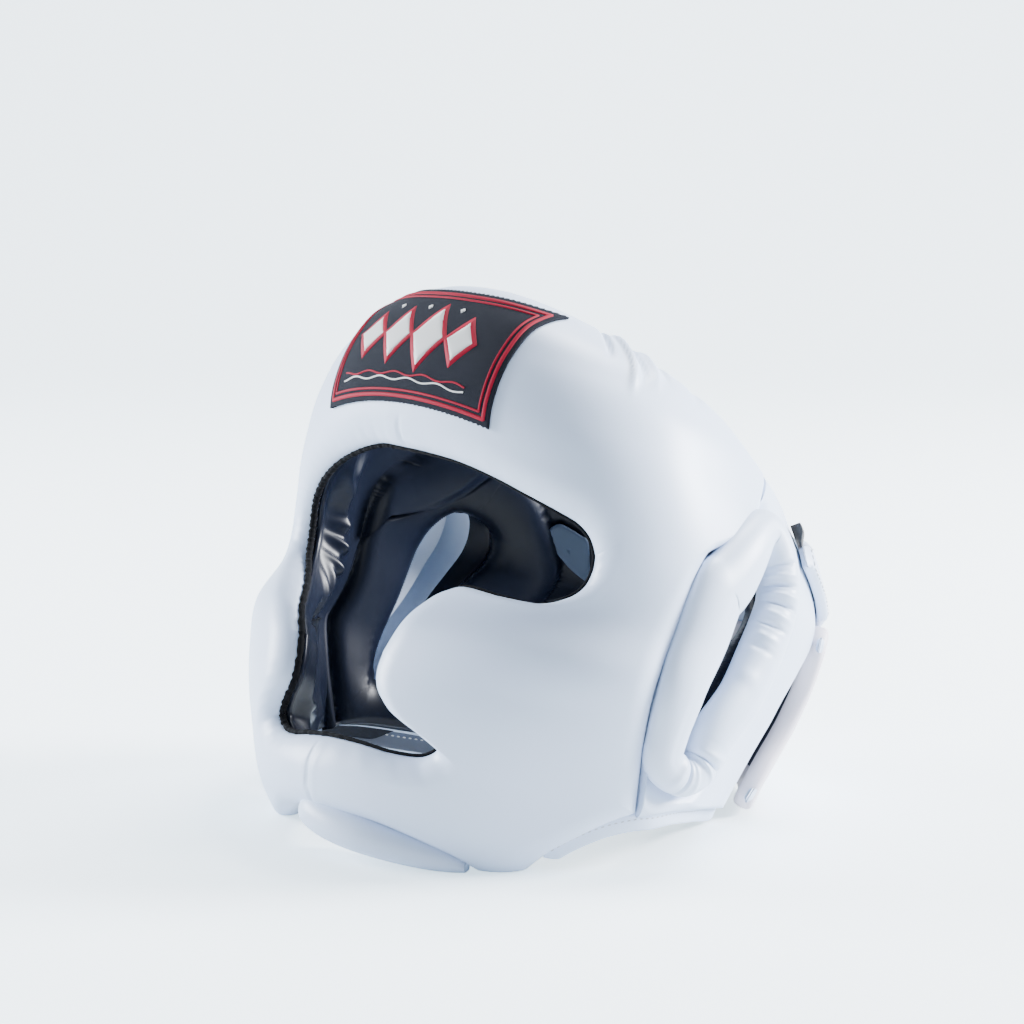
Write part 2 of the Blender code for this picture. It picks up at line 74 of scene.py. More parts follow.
def smoothStep(t):
    # 0 below 0, 1 above 1, 3t^2 - 2t^3 between
    t = np.clip(t, 0, 1)
    return t * t * (3 - 2 * t)


def quarterRound(distance, radius):
    # quarter circle: 0 at an edge, 1 at radius away from it
    t = np.clip(distance / radius, 0, 1)
    return np.sqrt(1 - (1 - t) ** 2)


def readCurve(table, value, column):
    # cubic Hermite through the column's values, slopes from their neighbours
    x, y = table[:, 0], table[:, column]
    slope = np.gradient(y, x)
    i = np.clip(np.searchsorted(x, value) - 1, 0, len(x) - 2)
    step = x[i + 1] - x[i]
    t = np.clip((value - x[i]) / step, 0, 1)
    return (y[i] * (2 * t**3 - 3 * t**2 + 1) + step * slope[i] * (t**3 - 2 * t**2 + t)
            + y[i + 1] * (3 * t**2 - 2 * t**3) + step * slope[i + 1] * (t**3 - t**2))


def closedRows(table, perRow, corners):
    # closed cubic curve through the rows of a table, with the slope 0 at the corners
    rows = len(table)
    slope = (np.roll(table, -1, axis=0) - np.roll(table, 1, axis=0)) / 2
    slope[list(corners)] = 0
    place = np.arange(rows * perRow) / perRow
    i = place.astype(int)
    t = (place - i)[:, None]
    following = (i + 1) % rows
    return (table[i] * (2 * t**3 - 3 * t**2 + 1) + slope[i] * (t**3 - 2 * t**2 + t)
            + table[following] * (3 * t**2 - 2 * t**3) + slope[following] * (t**3 - t**2))


def headPoint(angle, share):
    # squarish oval section at each height: x = width |sin|^(2/n), y = widest - reach |cos|^(2/n)
    width = readCurve(head["form"], share, 1) * head["cheekWidth"]
    widest = readCurve(head["form"], share, 2) * head["frontReach"]
    front = readCurve(head["form"], share, 3) * head["frontReach"]
    square = readCurve(head["form"], share, 4)
    rearWidth = readCurve(head["form"], share, 5) * head["rearWidth"]
    back = readCurve(head["form"], share, 6) * head["backReach"]
    c, s = np.cos(angle), np.sin(angle)
    turned = np.abs((angle + np.pi) % (2 * np.pi) - np.pi)
    toRear = smoothStep((turned - np.radians(75)) / np.radians(40))
    width = width + (rearWidth - width) * toRear
    square = square + (2 - square) * toRear
    reach = np.where(c > 0, widest - front, back - widest)
    y = widest - reach * np.sign(c) * np.abs(c) ** (2 / square)
    x = width * np.sign(s) * np.abs(s) ** (2 / square)
    height = share * head["crownHeight"]
    fall = head["crownTilt"] * np.clip((height - head["crownHeight"] / 2) * 2.4 / head["crownHeight"], 0, None)
    return np.stack([x, y, height - fall * (y + 0.57 * head["frontReach"])], -1)


def headNormal(angle, share):
    across = headPoint(angle + 0.002, share) - headPoint(angle - 0.002, share)
    up = headPoint(angle, share + 0.002) - headPoint(angle, share - 0.002)
    normal = np.cross(across, up)
    return normal / np.linalg.norm(normal, axis=-1, keepdims=True)


def leaned(vectors):
    # turned back about X by the lean
    lean = np.radians(head["leanDeg"])
    x, y, z = vectors[..., 0], vectors[..., 1], vectors[..., 2]
    return np.stack([x, y * np.cos(lean) + z * np.sin(lean), z * np.cos(lean) - y * np.sin(lean)], -1)


def unshifted(angle, share, depth):
    return leaned(headPoint(angle, share) - headNormal(angle, share) * np.asarray(depth)[..., None])


floorHeight = float(unshifted(np.radians(head["jawDeg"]), np.array(head["jawShare"]), 0.0)[2]) + head["pressed"]
shift = np.array([0.0, 0.0, floorHeight])  # its y is set with the shell, from the box of the solid


def onForm(angle, share, depth):
    # point at a depth under the form, in the row frame, flattened where it would go under the floor
    points = unshifted(angle, share, depth) - shift
    low = 0.4 * mm
    z = points[..., 2]
    points[..., 2] = np.where(z < low, low * np.exp(np.clip(z - low, -0.05, 0) / (2 * mm)) + 0.05 * mm, z)
    return points


def lengthsAcross(angle, share):
    # distance over the form from the first and from the last column
    points = headPoint(angle, share)
    step = np.linalg.norm(np.diff(points, axis=1), axis=-1)
    first = np.concatenate([np.zeros((len(step), 1)), np.cumsum(step, axis=1)], axis=1)
    return first, first[:, -1:] - first


def acrossGrid(inner, outer, steps):
    # straight blend in angle and height between two outlines
    s = np.asarray(steps)[None, :, None]
    grid = inner[:, None] * (1 - s) + outer[:, None] * s
    return grid[..., 0], grid[..., 1]


def withRadians(outline):
    return np.stack([np.radians(outline[:, 0]), outline[:, 1]], -1)


def unit(vectors):
    return vectors / np.maximum(np.linalg.norm(vectors, axis=-1, keepdims=True), 1e-12)


def along(points, closed):
    if closed:
        return unit(np.roll(points, -1, axis=0) - np.roll(points, 1, axis=0))
    return unit(np.gradient(points, axis=0))


def moved(outline, distance, closed=True):
    # outline moved over the form, to its left as seen from outside
    angle, share = outline.T
    aside = np.cross(headNormal(angle, share), along(headPoint(angle, share), closed)) * distance
    around = (headPoint(angle + 0.001, share) - headPoint(angle - 0.001, share)) / 0.002
    up = (headPoint(angle, share + 0.001) - headPoint(angle, share - 0.001)) / 0.002
    a, b, c = (around * around).sum(-1), (around * up).sum(-1), (up * up).sum(-1)
    p, q = (aside * around).sum(-1), (aside * up).sum(-1)
    return outline + np.stack([c * p - b * q, a * q - b * p], -1) / (a * c - b * b)[:, None]


def ridges(angle, share, table):
    # sum of long bumps: height * exp(-(distance to a segment / width)^2), fading to its ends.
    # Columns: start angle, start share, end angle, end share, width mm, height mm
    u = (np.degrees(angle) + 180) % 360 - 180
    u, v = u * 1.9, share * 240
    total = np.zeros(u.shape)
    for a0, s0, a1, s1, width, height in table:
        p, q = np.array([a0 * 1.9, s0 * 240]), np.array([a1 * 1.9, s1 * 240])
        run = q - p
        t = np.clip(((u - p[0]) * run[0] + (v - p[1]) * run[1]) / (run @ run), 0, 1)
        bend = 0.08 * np.hypot(*run) * np.sin(np.pi * t)
        across = np.array([-run[1], run[0]]) / np.hypot(*run)
        du, dv = u - p[0] - t * run[0] - bend * across[0], v - p[1] - t * run[1] - bend * across[1]
        total += height * mm * np.exp(-(du**2 + dv**2) / width**2) * np.sqrt(np.sin(np.pi * np.clip(t, 0.03, 0.97)))
    return total


def uneven(angle, share, size, amount):
    # a few crossing waves of unrelated lengths, in mm over the form
    u, v = np.cos(angle) * 108, np.sin(angle) * 108
    w = share * 240
    return amount * (np.sin(u / size + 1.3 * np.sin(w / size / 1.7)) + np.sin(v / size / 1.3 + w / size / 1.9)
                     + np.sin(w / size / 0.8 - u / size / 2.1)) / 3


def gridFaces(rows, columns, wrapRows, wrapColumns):
    i = np.arange(rows if wrapRows else rows - 1)[:, None]
    j = np.arange(columns if wrapColumns else columns - 1)[None, :]
    nextI, nextJ = (i + 1) % rows, (j + 1) % columns
    corners = [i * columns + j, nextI * columns + j, nextI * columns + nextJ, i * columns + nextJ]
    return np.stack(corners, -1).reshape(-1, 4)


def addMesh(name, points, faces, material, uv=None):
    # points and faces as whole arrays, put in with foreach_set
    mesh = bpy.data.meshes.new(name)
    points = np.ascontiguousarray(points, dtype=np.float32).reshape(-1, 3)
    faces = np.ascontiguousarray(faces, dtype=np.int32)
    mesh.vertices.add(len(points))
    mesh.vertices.foreach_set("co", points.ravel())
    mesh.loops.add(faces.size)
    mesh.loops.foreach_set("vertex_index", faces.ravel())
    mesh.polygons.add(len(faces))
    mesh.polygons.foreach_set("loop_start", np.arange(0, faces.size, faces.shape[1], dtype=np.int32))
    mesh.update(calc_edges=True)
    if uv is not None:
        layer = mesh.uv_layers.new(name="cloth")
        layer.data.foreach_set("uv", np.ascontiguousarray(uv[faces.ravel()], dtype=np.float32).ravel())
    mesh.materials.append(material)
    mesh.shade_smooth()
    mesh.validate()
    made = bpy.data.objects.new(name, mesh)
    bpy.context.scene.collection.objects.link(made)
    return made


def addWall(name, outer, inner, material, closedLoop=True):
    # a closed skin: the outer face, then the inner face back, as one grid that closes on itself
    points = np.concatenate([outer, inner[:, ::-1]], axis=1)
    rows, columns = points.shape[:2]
    faces = gridFaces(rows, columns, closedLoop, True)
    if not closedLoop:
        # the open ends are closed by a strip of quads between the two faces
        j = np.arange(columns // 2 - 1)
        strip = np.stack([j, j + 1, columns - 2 - j, columns - 1 - j], -1)
        faces = np.concatenate([faces, strip[:, ::-1], strip + (rows - 1) * columns])
    return addMesh(name, points, faces, material)


def capped(name, points, faces, rows, columns, material):
    # ends closed by a fan of quads round each end's middle
    flat = points.reshape(-1, 3)
    ends = []
    for row, turned in ((0, True), (rows - 1, False)):
        middle = flat[row * columns:(row + 1) * columns].mean(axis=0)
        index = len(flat)
        flat = np.concatenate([flat, middle[None]])
        j = np.arange(0, columns, 2)
        a, b, c = row * columns + j, row * columns + (j + 1) % columns, row * columns + (j + 2) % columns
        fan = np.stack([np.full(len(j), index), a, b, c], -1)
        ends.append(fan[:, ::-1] if turned else fan)
    return addMesh(name, flat, np.concatenate([faces] + ends), material)


def addSweep(name, middle, first, second, profile, material, closed):
    # a closed profile carried along a line: middle + first * profile x + second * profile y
    points = middle[:, None] + first[:, None] * profile[..., 0:1] + second[:, None] * profile[..., 1:2]
    rows, columns = points.shape[:2]
    faces = gridFaces(rows, columns, closed, True)
    if closed:
        return addMesh(name, points, faces, material)
    return capped(name, points, faces, rows, columns, material)


def ovalProfile(count, halfWidth, halfHeight, power=2.0):
    # superellipse: |x/a|^n + |y/b|^n = 1
    t = np.arange(count) * 2 * np.pi / count
    c, s = np.cos(t), np.sin(t)
    x = halfWidth * np.sign(c) * np.abs(c) ** (2 / power)
    y = halfHeight * np.sign(s) * np.abs(s) ** (2 / power)
    return np.stack([x, y], -1)


def evenly(points, pitch, closed):
    # places and directions at an even pitch along a line of points
    line = np.concatenate([points, points[:1]]) if closed else points
    step = np.linalg.norm(np.diff(line, axis=0), axis=1)
    run = np.concatenate([[0], np.cumsum(step)])
    count = max(int(run[-1] / pitch), 1)
    at = (np.arange(count) + 0.5) * run[-1] / count
    place = np.stack([np.interp(at, run, line[:, k]) for k in range(3)], -1)
    ahead = np.stack([np.interp(np.clip(at + 0.3 * pitch, 0, run[-1]), run, line[:, k]) for k in range(3)], -1)
    behind = np.stack([np.interp(np.clip(at - 0.3 * pitch, 0, run[-1]), run, line[:, k]) for k in range(3)], -1)
    return place, unit(ahead - behind), at, run


def addStitches(name, line, normals, pitch, length, radius, material, closed=False, slant=0.0):
    # one small spindle a stitch, 6 round by 5 long, half sunk in the leather
    place, run, at, total = evenly(line, pitch, closed)
    source = np.concatenate([normals, normals[:1]]) if closed else normals
    out = unit(np.stack([np.interp(at, total, source[:, k]) for k in range(3)], -1))
    side = unit(np.cross(run, out))
    out = np.cross(side, run)
    run, side = run * np.cos(slant) + side * np.sin(slant), side * np.cos(slant) - run * np.sin(slant)
    t = np.linspace(-1, 1, 5)
    turn = np.arange(6) * np.pi / 3
    swell = np.sqrt(np.clip(1.04 - t**2, 0.02, 1)) * radius
    sink = -0.25 * radius - 0.6 * radius * t**4
    lengthwise = (run[:, None, None] * (t * length / 2)[None, :, None, None])
    around = (side[:, None, None] * (np.cos(turn)[None, None, :, None] * swell[None, :, None, None])
              + out[:, None, None] * (np.sin(turn)[None, None, :, None] * swell[None, :, None, None]))
    points = place[:, None, None] + lengthwise + around + out[:, None, None] * sink[None, :, None, None]
    i = np.arange(4)[:, None]
    j = np.arange(6)[None, :]
    one = np.stack([i * 6 + j, i * 6 + (j + 1) % 6, (i + 1) * 6 + (j + 1) % 6, (i + 1) * 6 + j], -1).reshape(-1, 4)
    ends = np.array([(0, 3, 2, 1), (0, 5, 4, 3), (24, 25, 26, 27), (24, 27, 28, 29)])
    one = np.concatenate([one, ends])
    faces = (one[None] + 30 * np.arange(len(place))[:, None, None]).reshape(-1, 4)
    return addMesh(name, points.reshape(-1, 3), faces, material)


def addFibres(name, line, normals, pitch, lengths, radius, material, seed, closed=True):
    # loose thread ends: thin three-sided spikes that start on a line and bend as they go
    place, run, at, total = evenly(line, pitch, closed)
    source = np.concatenate([normals, normals[:1]]) if closed else normals
    out = unit(np.stack([np.interp(at, total, source[:, k]) for k in range(3)], -1))
    side = unit(np.cross(run, out))
    draw = np.random.default_rng(seed)
    count = len(place)
    length = draw.uniform(lengths[0], lengths[1], count)[:, None]
    heading = unit(side * draw.uniform(-1.0, 0.2, count)[:, None] + run * draw.uniform(-1, 1, count)[:, None]
                   + out * draw.uniform(-0.1, 0.7, count)[:, None])
    curl = unit(np.cross(heading, run)) * draw.uniform(-0.5, 0.5, count)[:, None] * length
    t = np.linspace(0, 1, 4)[None, :, None]
    spine = place[:, None] + heading[:, None] * length[:, None] * t + curl[:, None] * t**2
    first = unit(np.cross(heading, out))[:, None]
    second = unit(np.cross(heading, first[:, 0]))[:, None]
    thick = radius * (1 - 0.7 * t)
    turn = np.arange(3) * 2 * np.pi / 3
    points = (spine[:, :, None] + first[:, :, None] * (thick * np.cos(turn))[..., None]
              + second[:, :, None] * (thick * np.sin(turn))[..., None])
    i = np.arange(3)[:, None]
    j = np.arange(3)[None, :]
    one = np.stack([i * 3 + j, i * 3 + (j + 1) % 3, (i + 1) * 3 + (j + 1) % 3, (i + 1) * 3 + j], -1).reshape(-1, 4)
    one = np.concatenate([one[:, [0, 1, 2]], one[:, [0, 2, 3]], [(2, 1, 0), (9, 10, 11)]])
    faces = (one[None] + 12 * np.arange(count)[:, None, None]).reshape(-1, 3)
    return addMesh(name, points.reshape(-1, 3), faces, material)


def linear(hexColour):
    # sRGB hex to linear
    values = np.array([int(hexColour[k:k + 2], 16) / 255 for k in (1, 3, 5)])
    values = np.where(values <= 0.04045, values / 12.92, ((values + 0.055) / 1.055) ** 2.4)
    return (*values.tolist(), 1.0)


def addNode(tree, kind, settings=None, **links):
    # one node with its settings by attribute or by socket, and links by input name
    node = tree.nodes.new(kind)
    for key, value in (settings or {}).items():
        if key in node.inputs:
            node.inputs[key].default_value = value
        else:
            setattr(node, key, value)
    for key, source in links.items():
        tree.links.new(source, node.inputs[key.replace("_", " ")])
    return node


def newMaterial(name, colour, roughness, specular=0.5):
    made = bpy.data.materials.new(name)
    made.use_nodes = True
    shader = made.node_tree.nodes["Principled BSDF"]
    shader.inputs["Base Color"].default_value = linear(colour)
    shader.inputs["Roughness"].default_value = roughness
    shader.inputs["Specular IOR Level"].default_value = specular
    return made, made.node_tree, shader


def addBump(tree, shader, heights, strength, distance):
    bump = addNode(tree, "ShaderNodeBump", {"Strength": strength, "Distance": distance}, Height=heights)
    tree.links.new(bump.outputs["Normal"], shader.inputs["Normal"])


leatherSettings = {
    # white: the leather's white darkened and tinted blue, painted cool shade
    "white": "#c8d6ec", "whiteRoughness": 0.42, "grainMm": 0.9, "grainDepthMm": 0.05,
    # binding: cream binding leather greyed as painted shade
    "lining": "#0d1322", "liningRoughness": 0.36, "liningShine": 0.24, "binding": "#dcd6de",
}


def whiteLeather():
    # synthetic leather: woven backing with a pressed white coat, which gives a soft wide sheen and a faint fine grain;
    # its colour is the white darkened and tinted blue as painted cool shade
    made, tree, shader = newMaterial("coatedWhiteLeatherPaintedShade", leatherSettings["white"], leatherSettings["whiteRoughness"])
    shader.inputs["Coat Weight"].default_value = 0.12
    shader.inputs["Coat Roughness"].default_value = 0.35
    place = addNode(tree, "ShaderNodeTexCoord").outputs["Object"]
    grain = addNode(tree, "ShaderNodeTexVoronoi", {"Scale": 1000 / leatherSettings["grainMm"]}, Vector=place)
    soft = addNode(tree, "ShaderNodeTexNoise", {"Scale": 260.0, "Detail": 3.0}, Vector=place)
    both = addNode(tree, "ShaderNodeMath", {"operation": "MULTIPLY_ADD"})
    tree.links.new(grain.outputs["Distance"], both.inputs[0])
    both.inputs[1].default_value = 0.5
    tree.links.new(soft.outputs["Fac"], both.inputs[2])
    addBump(tree, shader, both.outputs[0], 0.25, leatherSettings["grainDepthMm"] * mm)
    return made


def liningLeather():
    # thin glazed black lining leather: satin, with long soft highlights on its folds
    s = leatherSettings
    made, tree, shader = newMaterial("glazedBlackLining", s["lining"], s["liningRoughness"], s["liningShine"])
    place = addNode(tree, "ShaderNodeTexCoord").outputs["Object"]
    soft = addNode(tree, "ShaderNodeTexNoise", {"Scale": 420.0, "Detail": 4.0}, Vector=place)
    addBump(tree, shader, soft.outputs["Fac"], 0.25, 0.06 * mm)
    return made


def shadedBindingLeather():
    # folded strip of the same leather, cream in tone and greyed all over as painted shade
    made, tree, shader = newMaterial("foldedBindingLeatherPaintedShade", leatherSettings["binding"], 0.45)
    place = addNode(tree, "ShaderNodeTexCoord").outputs["Object"]
    soft = addNode(tree, "ShaderNodeTexNoise", {"Scale": 300.0, "Detail": 3.0}, Vector=place)
    addBump(tree, shader, soft.outputs["Fac"], 0.3, 0.08 * mm)
    return made


def threadMaterial(name, colour, roughness=0.6, sheen=0.2, specular=0.5):
    # twisted polyester thread: matt with a faint sheen
    made, tree, shader = newMaterial(name, colour, roughness, specular)
    shader.inputs["Sheen Weight"].default_value = sheen
    return made


def patchCloth():
    # plain-woven dark cloth: 20 * weave / (2 pi) threads to a unit of the patch's own UV, which is about 1 mm
    made, tree, shader = newMaterial("wovenPatchCloth", "#10141f", 0.85, 0.2)
    place = addNode(tree, "ShaderNodeUVMap", {"uv_map": "cloth"}).outputs["UV"]
    weave = 2.33546
    warp = addNode(tree, "ShaderNodeTexWave", {"Scale": weave, "bands_direction": "X"}, Vector=place)
    weft = addNode(tree, "ShaderNodeTexWave", {"Scale": weave, "bands_direction": "Y"}, Vector=place)
    both = addNode(tree, "ShaderNodeMath", {"operation": "MULTIPLY"})
    tree.links.new(warp.outputs["Fac"], both.inputs[0])
    tree.links.new(weft.outputs["Fac"], both.inputs[1])
    addBump(tree, shader, both.outputs[0], 0.6, 0.15 * mm)
    return made


white = whiteLeather()
black = liningLeather()
shadedBindingSkin = shadedBindingLeather()
cloth = patchCloth()
whiteThread = threadMaterial("whiteSewingThread", "#dfe1e6")
greyThread = threadMaterial("greySewingThread", "#a9aeb8")
blackThread = threadMaterial("blackRawEdgeThread", "#07080c", 0.9, 0.0, 0.15)
redThread = threadMaterial("redSatinThread", "#8e0a28", 0.7, 0.0, 0.2)
paleThread = threadMaterial("offWhiteSatinThread", "#c9c9c6", 0.6, 0.1, 0.3)
paleLining = newMaterial("paleBlueLining", "#4f5d73", 0.55, 0.3)[0]
# the white binding's inner face drawn grey: painted shade inside the guard
bindingInsideShadeGrey = threadMaterial("bindingInsidePaintedShade", "#747987", 0.8, 0.0, 0.3)
tapeMaterial = threadMaterial("blackHookTape", "#0c0d10", 0.7)
print("materials made")

# The main shell. Columns: opening angle in degrees and share of crownHeight, outer edge angle and
# share, and how far the edge is pinched shut
shellSettings = {
    "pad": 19 * mm, "seamDepth": 8 * mm, "seamLip": 1.4 * mm, "edgeRoll": 13 * mm,
    "perRow": 20, "across": 72, "innerSteps": 12, "corners": (8, 16, 32, 40),
    "outline": np.array([
        (-3.0, 0.683, 0.0, 0.988, 1.0),
        (4.0, 0.679, 12.0, 0.988, 1.0),
        (12.0, 0.673, 26.0, 0.987, 1.0),
        (21.0, 0.661, 42.0, 0.983, 1.0),
        (30.0, 0.646, 60.0, 0.973, 1.0),
        (38.0, 0.634, 78.0, 0.954, 1.0),
        (44.0, 0.624, 94.0, 0.931, 1.0),
        (47.5, 0.607, 109.0, 0.902, 1.0),
        (48.5, 0.583, 121.0, 0.858, 0.6),
        (47.6, 0.561, 105.0, 0.735, 0.1),
        (45.0, 0.534, 90.0, 0.650, 0.0),
        (40.5, 0.5145, 80.0, 0.560, 0.0),
        (33.0, 0.4995, 74.5, 0.490, 0.0),
        (23.0, 0.501, 72.6, 0.420, 0.0),
        (12.5, 0.502, 72.0, 0.360, 0.0),
        (7.2, 0.465, 72.5, 0.290, 0.0),
        (6.8, 0.375, 74.0, 0.204, 0.5),
        (8.6, 0.324, 72.0, 0.196, 0.8),
        (14.0, 0.284, 70.0, 0.188, 1.0),
        (21.5, 0.259, 66.0, 0.168, 1.0),
        (27.8, 0.2365, 58.0, 0.120, 1.0),
        (25.0, 0.2135, 46.5, 0.050, 1.0),
        (17.5, 0.2085, 34.5, 0.068, 1.0),
        (9.0, 0.213, 18.0, 0.089, 1.0),
        (0.0, 0.214, 0.0, 0.087, 1.0),
        (-9.0, 0.208, -18.0, 0.084, 1.0),
        (-16.0, 0.202, -34.0, 0.062, 1.0),
        (-22.0, 0.205, -46.0, 0.050, 1.0),
        (-24.5, 0.226, -55.0, 0.099, 1.0),
        (-21.5, 0.255, -62.0, 0.146, 1.0),
        (-17.5, 0.288, -69.0, 0.183, 1.0),
        (-16.0, 0.329, -72.0, 0.196, 0.8),
        (-16.5, 0.379, -74.0, 0.204, 0.5),
        (-20.5, 0.430, -72.5, 0.290, 0.0),
        (-27.0, 0.467, -72.0, 0.360, 0.0),
        (-35.0, 0.491, -72.6, 0.420, 0.0),
        (-42.0, 0.507, -74.5, 0.490, 0.0),
        (-47.0, 0.530, -80.0, 0.560, 0.0),
        (-49.0, 0.556, -90.0, 0.650, 0.0),
        (-48.5, 0.585, -105.0, 0.735, 0.1),
        (-45.5, 0.606, -121.0, 0.858, 0.6),
        (-40.5, 0.622, -109.0, 0.902, 1.0),
        (-35.0, 0.635, -94.0, 0.931, 1.0),
        (-29.0, 0.648, -78.0, 0.954, 1.0),
        (-23.0, 0.660, -60.0, 0.973, 1.0),
        (-17.0, 0.671, -42.0, 0.983, 1.0),
        (-12.0, 0.679, -26.0, 0.987, 1.0),
        (-7.5, 0.684, -12.0, 0.988, 1.0),
    ]),
    # seam grooves, gathers at the crown and soft hollows: angle, share, angle, share, width mm, height mm
    "creases": [
        (0.3, 0.67, 0.0, 0.73, 0.6, -0.9), (2.6, 0.67, 2.4, 0.74, 1.6, 0.12), (-2.2, 0.67, -2.4, 0.74, 1.6, 0.12),
        (-1.6, 0.09, -1.4, 0.215, 0.6, -0.9), (0.9, 0.10, 0.9, 0.20, 1.6, 0.15), (-3.8, 0.10, -3.8, 0.20, 1.6, 0.15),
        (61.0, 0.985, 58.5, 0.905, 1.8, -2.2), (66.0, 0.985, 65.0, 0.86, 2.2, 2.2), (70.5, 0.97, 69.5, 0.88, 1.8, -2.0),
        (75.0, 0.97, 74.0, 0.885, 2.2, 1.4), (80.0, 0.965, 79.0, 0.90, 2.0, -1.2), (92.0, 0.95, 89.0, 0.89, 2.4, -0.9),
        (-61.0, 0.985, -57.0, 0.90, 2.4, -1.3), (-68.0, 0.985, -64.0, 0.88, 2.8, 1.2),
        (-76.0, 0.97, -72.0, 0.89, 2.4, -1.1), (-88.0, 0.96, -85.0, 0.89, 3.0, 0.8),
    ],
}


def shellGrid(settings):
    rows = closedRows(settings["outline"], settings["perRow"], settings["corners"])
    steps = 0.5 - 0.5 * np.cos(np.linspace(0, np.pi, settings["across"]))
    opening, edge = withRadians(rows[:, 0:2]), withRadians(rows[:, 2:4])
    angle, share = acrossGrid(opening, edge, steps)
    fromOpening, fromEdge = lengthsAcross(angle, share)
    outer = settings["seamDepth"] * (2 - quarterRound(fromOpening, settings["edgeRoll"])
                                     - quarterRound(fromEdge, settings["edgeRoll"]))
    pinch = rows[:, 4:5]
    closeToEdge = 1 - smoothStep(fromEdge / settings["edgeRoll"])
    openUp = smoothStep(fromOpening / settings["edgeRoll"]) * (1 - pinch * closeToEdge)
    thin = settings["seamDepth"] + settings["seamLip"]
    inner = thin + (settings["pad"] - thin) * openUp
    return rows, opening, edge, angle, share, fromOpening, fromEdge, outer, inner


rows, opening, edge, angle, share, fromOpening, fromEdge, outerDepth, innerDepth = shellGrid(shellSettings)
shift[1] = unshifted(angle, share, outerDepth)[..., 1].min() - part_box("shell")[0][1]

pucker = np.exp(-(fromOpening / (8 * mm)) ** 2) * np.sin(np.arange(len(rows)) * 2 * np.pi / 13.7)[:, None]
relief = (ridges(angle, share, shellSettings["creases"]) + uneven(angle, share, 17, 0.35 * mm)
          + 0.10 * mm * pucker)
relief = relief * smoothStep(fromOpening / (2 * mm)) * smoothStep(fromEdge / (2 * mm))
coarse = np.unique(np.linspace(0, shellSettings["across"] - 1, shellSettings["innerSteps"]).astype(int))
shellPiece = addWall("shellLeather", onForm(angle, share, outerDepth - relief),
                     onForm(angle, share, innerDepth)[:, coarse], white)
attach(shellPiece, "root")
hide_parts("shell")
print("shell made")

# The roll of the lining round each ear hole. Columns: angle and share of the hole
holeRoll = {
    "wide": 33 * mm, "high": 8.5 * mm, "power": 2.2,
    "hole": np.array([
        (112.0, 0.714), (108.5, 0.702), (103.5, 0.652), (100.0, 0.594), (97.5, 0.528), (95.6, 0.462),
        (94.0, 0.400), (92.8, 0.345), (93.5, 0.312), (96.5, 0.304), (100.2, 0.325), (102.3, 0.378),
        (105.6, 0.440), (109.6, 0.500), (114.0, 0.555), (117.4, 0.612), (118.6, 0.664), (117.0, 0.703),
    ]),
}


def rollHeight(angle, share):
    # half oval over the distance d from the hole: high * (1 - |2d/wide - 1|^n)^(1/n)
    hole = closedRows(holeRoll["hole"], 12, ())
    turned = np.abs((np.degrees(angle) + 180) % 360 - 180)
    near = np.full(turned.shape, 1.0)
    for a, h in hole:
        near = np.minimum(near, np.hypot((turned - a) * 1.95 * mm, (share - h) * head["crownHeight"]))
    t = np.clip(near / holeRoll["wide"], 0, 1)
    return holeRoll["high"] * np.clip(1 - np.abs(2 * t - 1) ** holeRoll["power"], 0, 1) ** (1 / holeRoll["power"])


# The lining. Folds: angle, share, angle, share, width mm, height mm towards the head
liningSettings = {
    "gap": 0.5 * mm, "thick": 2.4 * mm,
    "folds": [
        (-45, 0.53, -62, 0.505, 1.6, 2.6), (-47, 0.555, -66, 0.535, 1.8, 2.2), (-46, 0.575, -64, 0.575, 2.6, 1.6),
        (-44, 0.50, -52, 0.43, 1.8, 2.4), (-47, 0.515, -58, 0.40, 2.2, 2.8), (-56, 0.47, -64, 0.33, 3.2, 3.2),
        (-42, 0.44, -48, 0.34, 2.6, 2.2), (-50, 0.38, -62, 0.27, 3.4, 2.8), (-38, 0.31, -52, 0.25, 2.6, 2.2),
        (-34, 0.27, -50, 0.235, 2.4, 2.6), (-40, 0.225, -60, 0.22, 2.8, 2.6), (-28, 0.245, -36, 0.225, 2.6, 2.4),
        (-58, 0.66, -72, 0.72, 4.0, 1.4), (-52, 0.62, -66, 0.66, 4.4, 1.2), (-66, 0.80, -88, 0.82, 5.0, 1.4),
        (20, 0.75, 34, 0.60, 4.0, 2.4), (40, 0.70, 58, 0.56, 4.5, 2.4), (30, 0.46, 44, 0.30, 4.0, 2.4),
        (48, 0.48, 56, 0.26, 4.6, 2.4), (12, 0.86, 22, 0.72, 4.0, 1.6), (-10, 0.88, -16, 0.74, 4.0, 1.6),
    ],
}
liningTop = innerDepth + liningSettings["gap"]
away = smoothStep(fromOpening / (9 * mm)) * smoothStep(fromEdge / (8 * mm))
folded = (1.35 * ridges(angle, share, liningSettings["folds"]) + uneven(angle, share, 11, 0.5 * mm)) * away
rolled = rollHeight(angle, share) * smoothStep((share - 0.50) / 0.08)
liningInner = onForm(angle, share, liningTop + liningSettings["thick"] + folded + rolled)
liningOuter = onForm(angle, share, liningTop)[:, coarse]
liningPiece = addWall("liningLeather", liningOuter, liningInner, black)
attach(liningPiece, "root")
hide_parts("lining")
print("lining made")

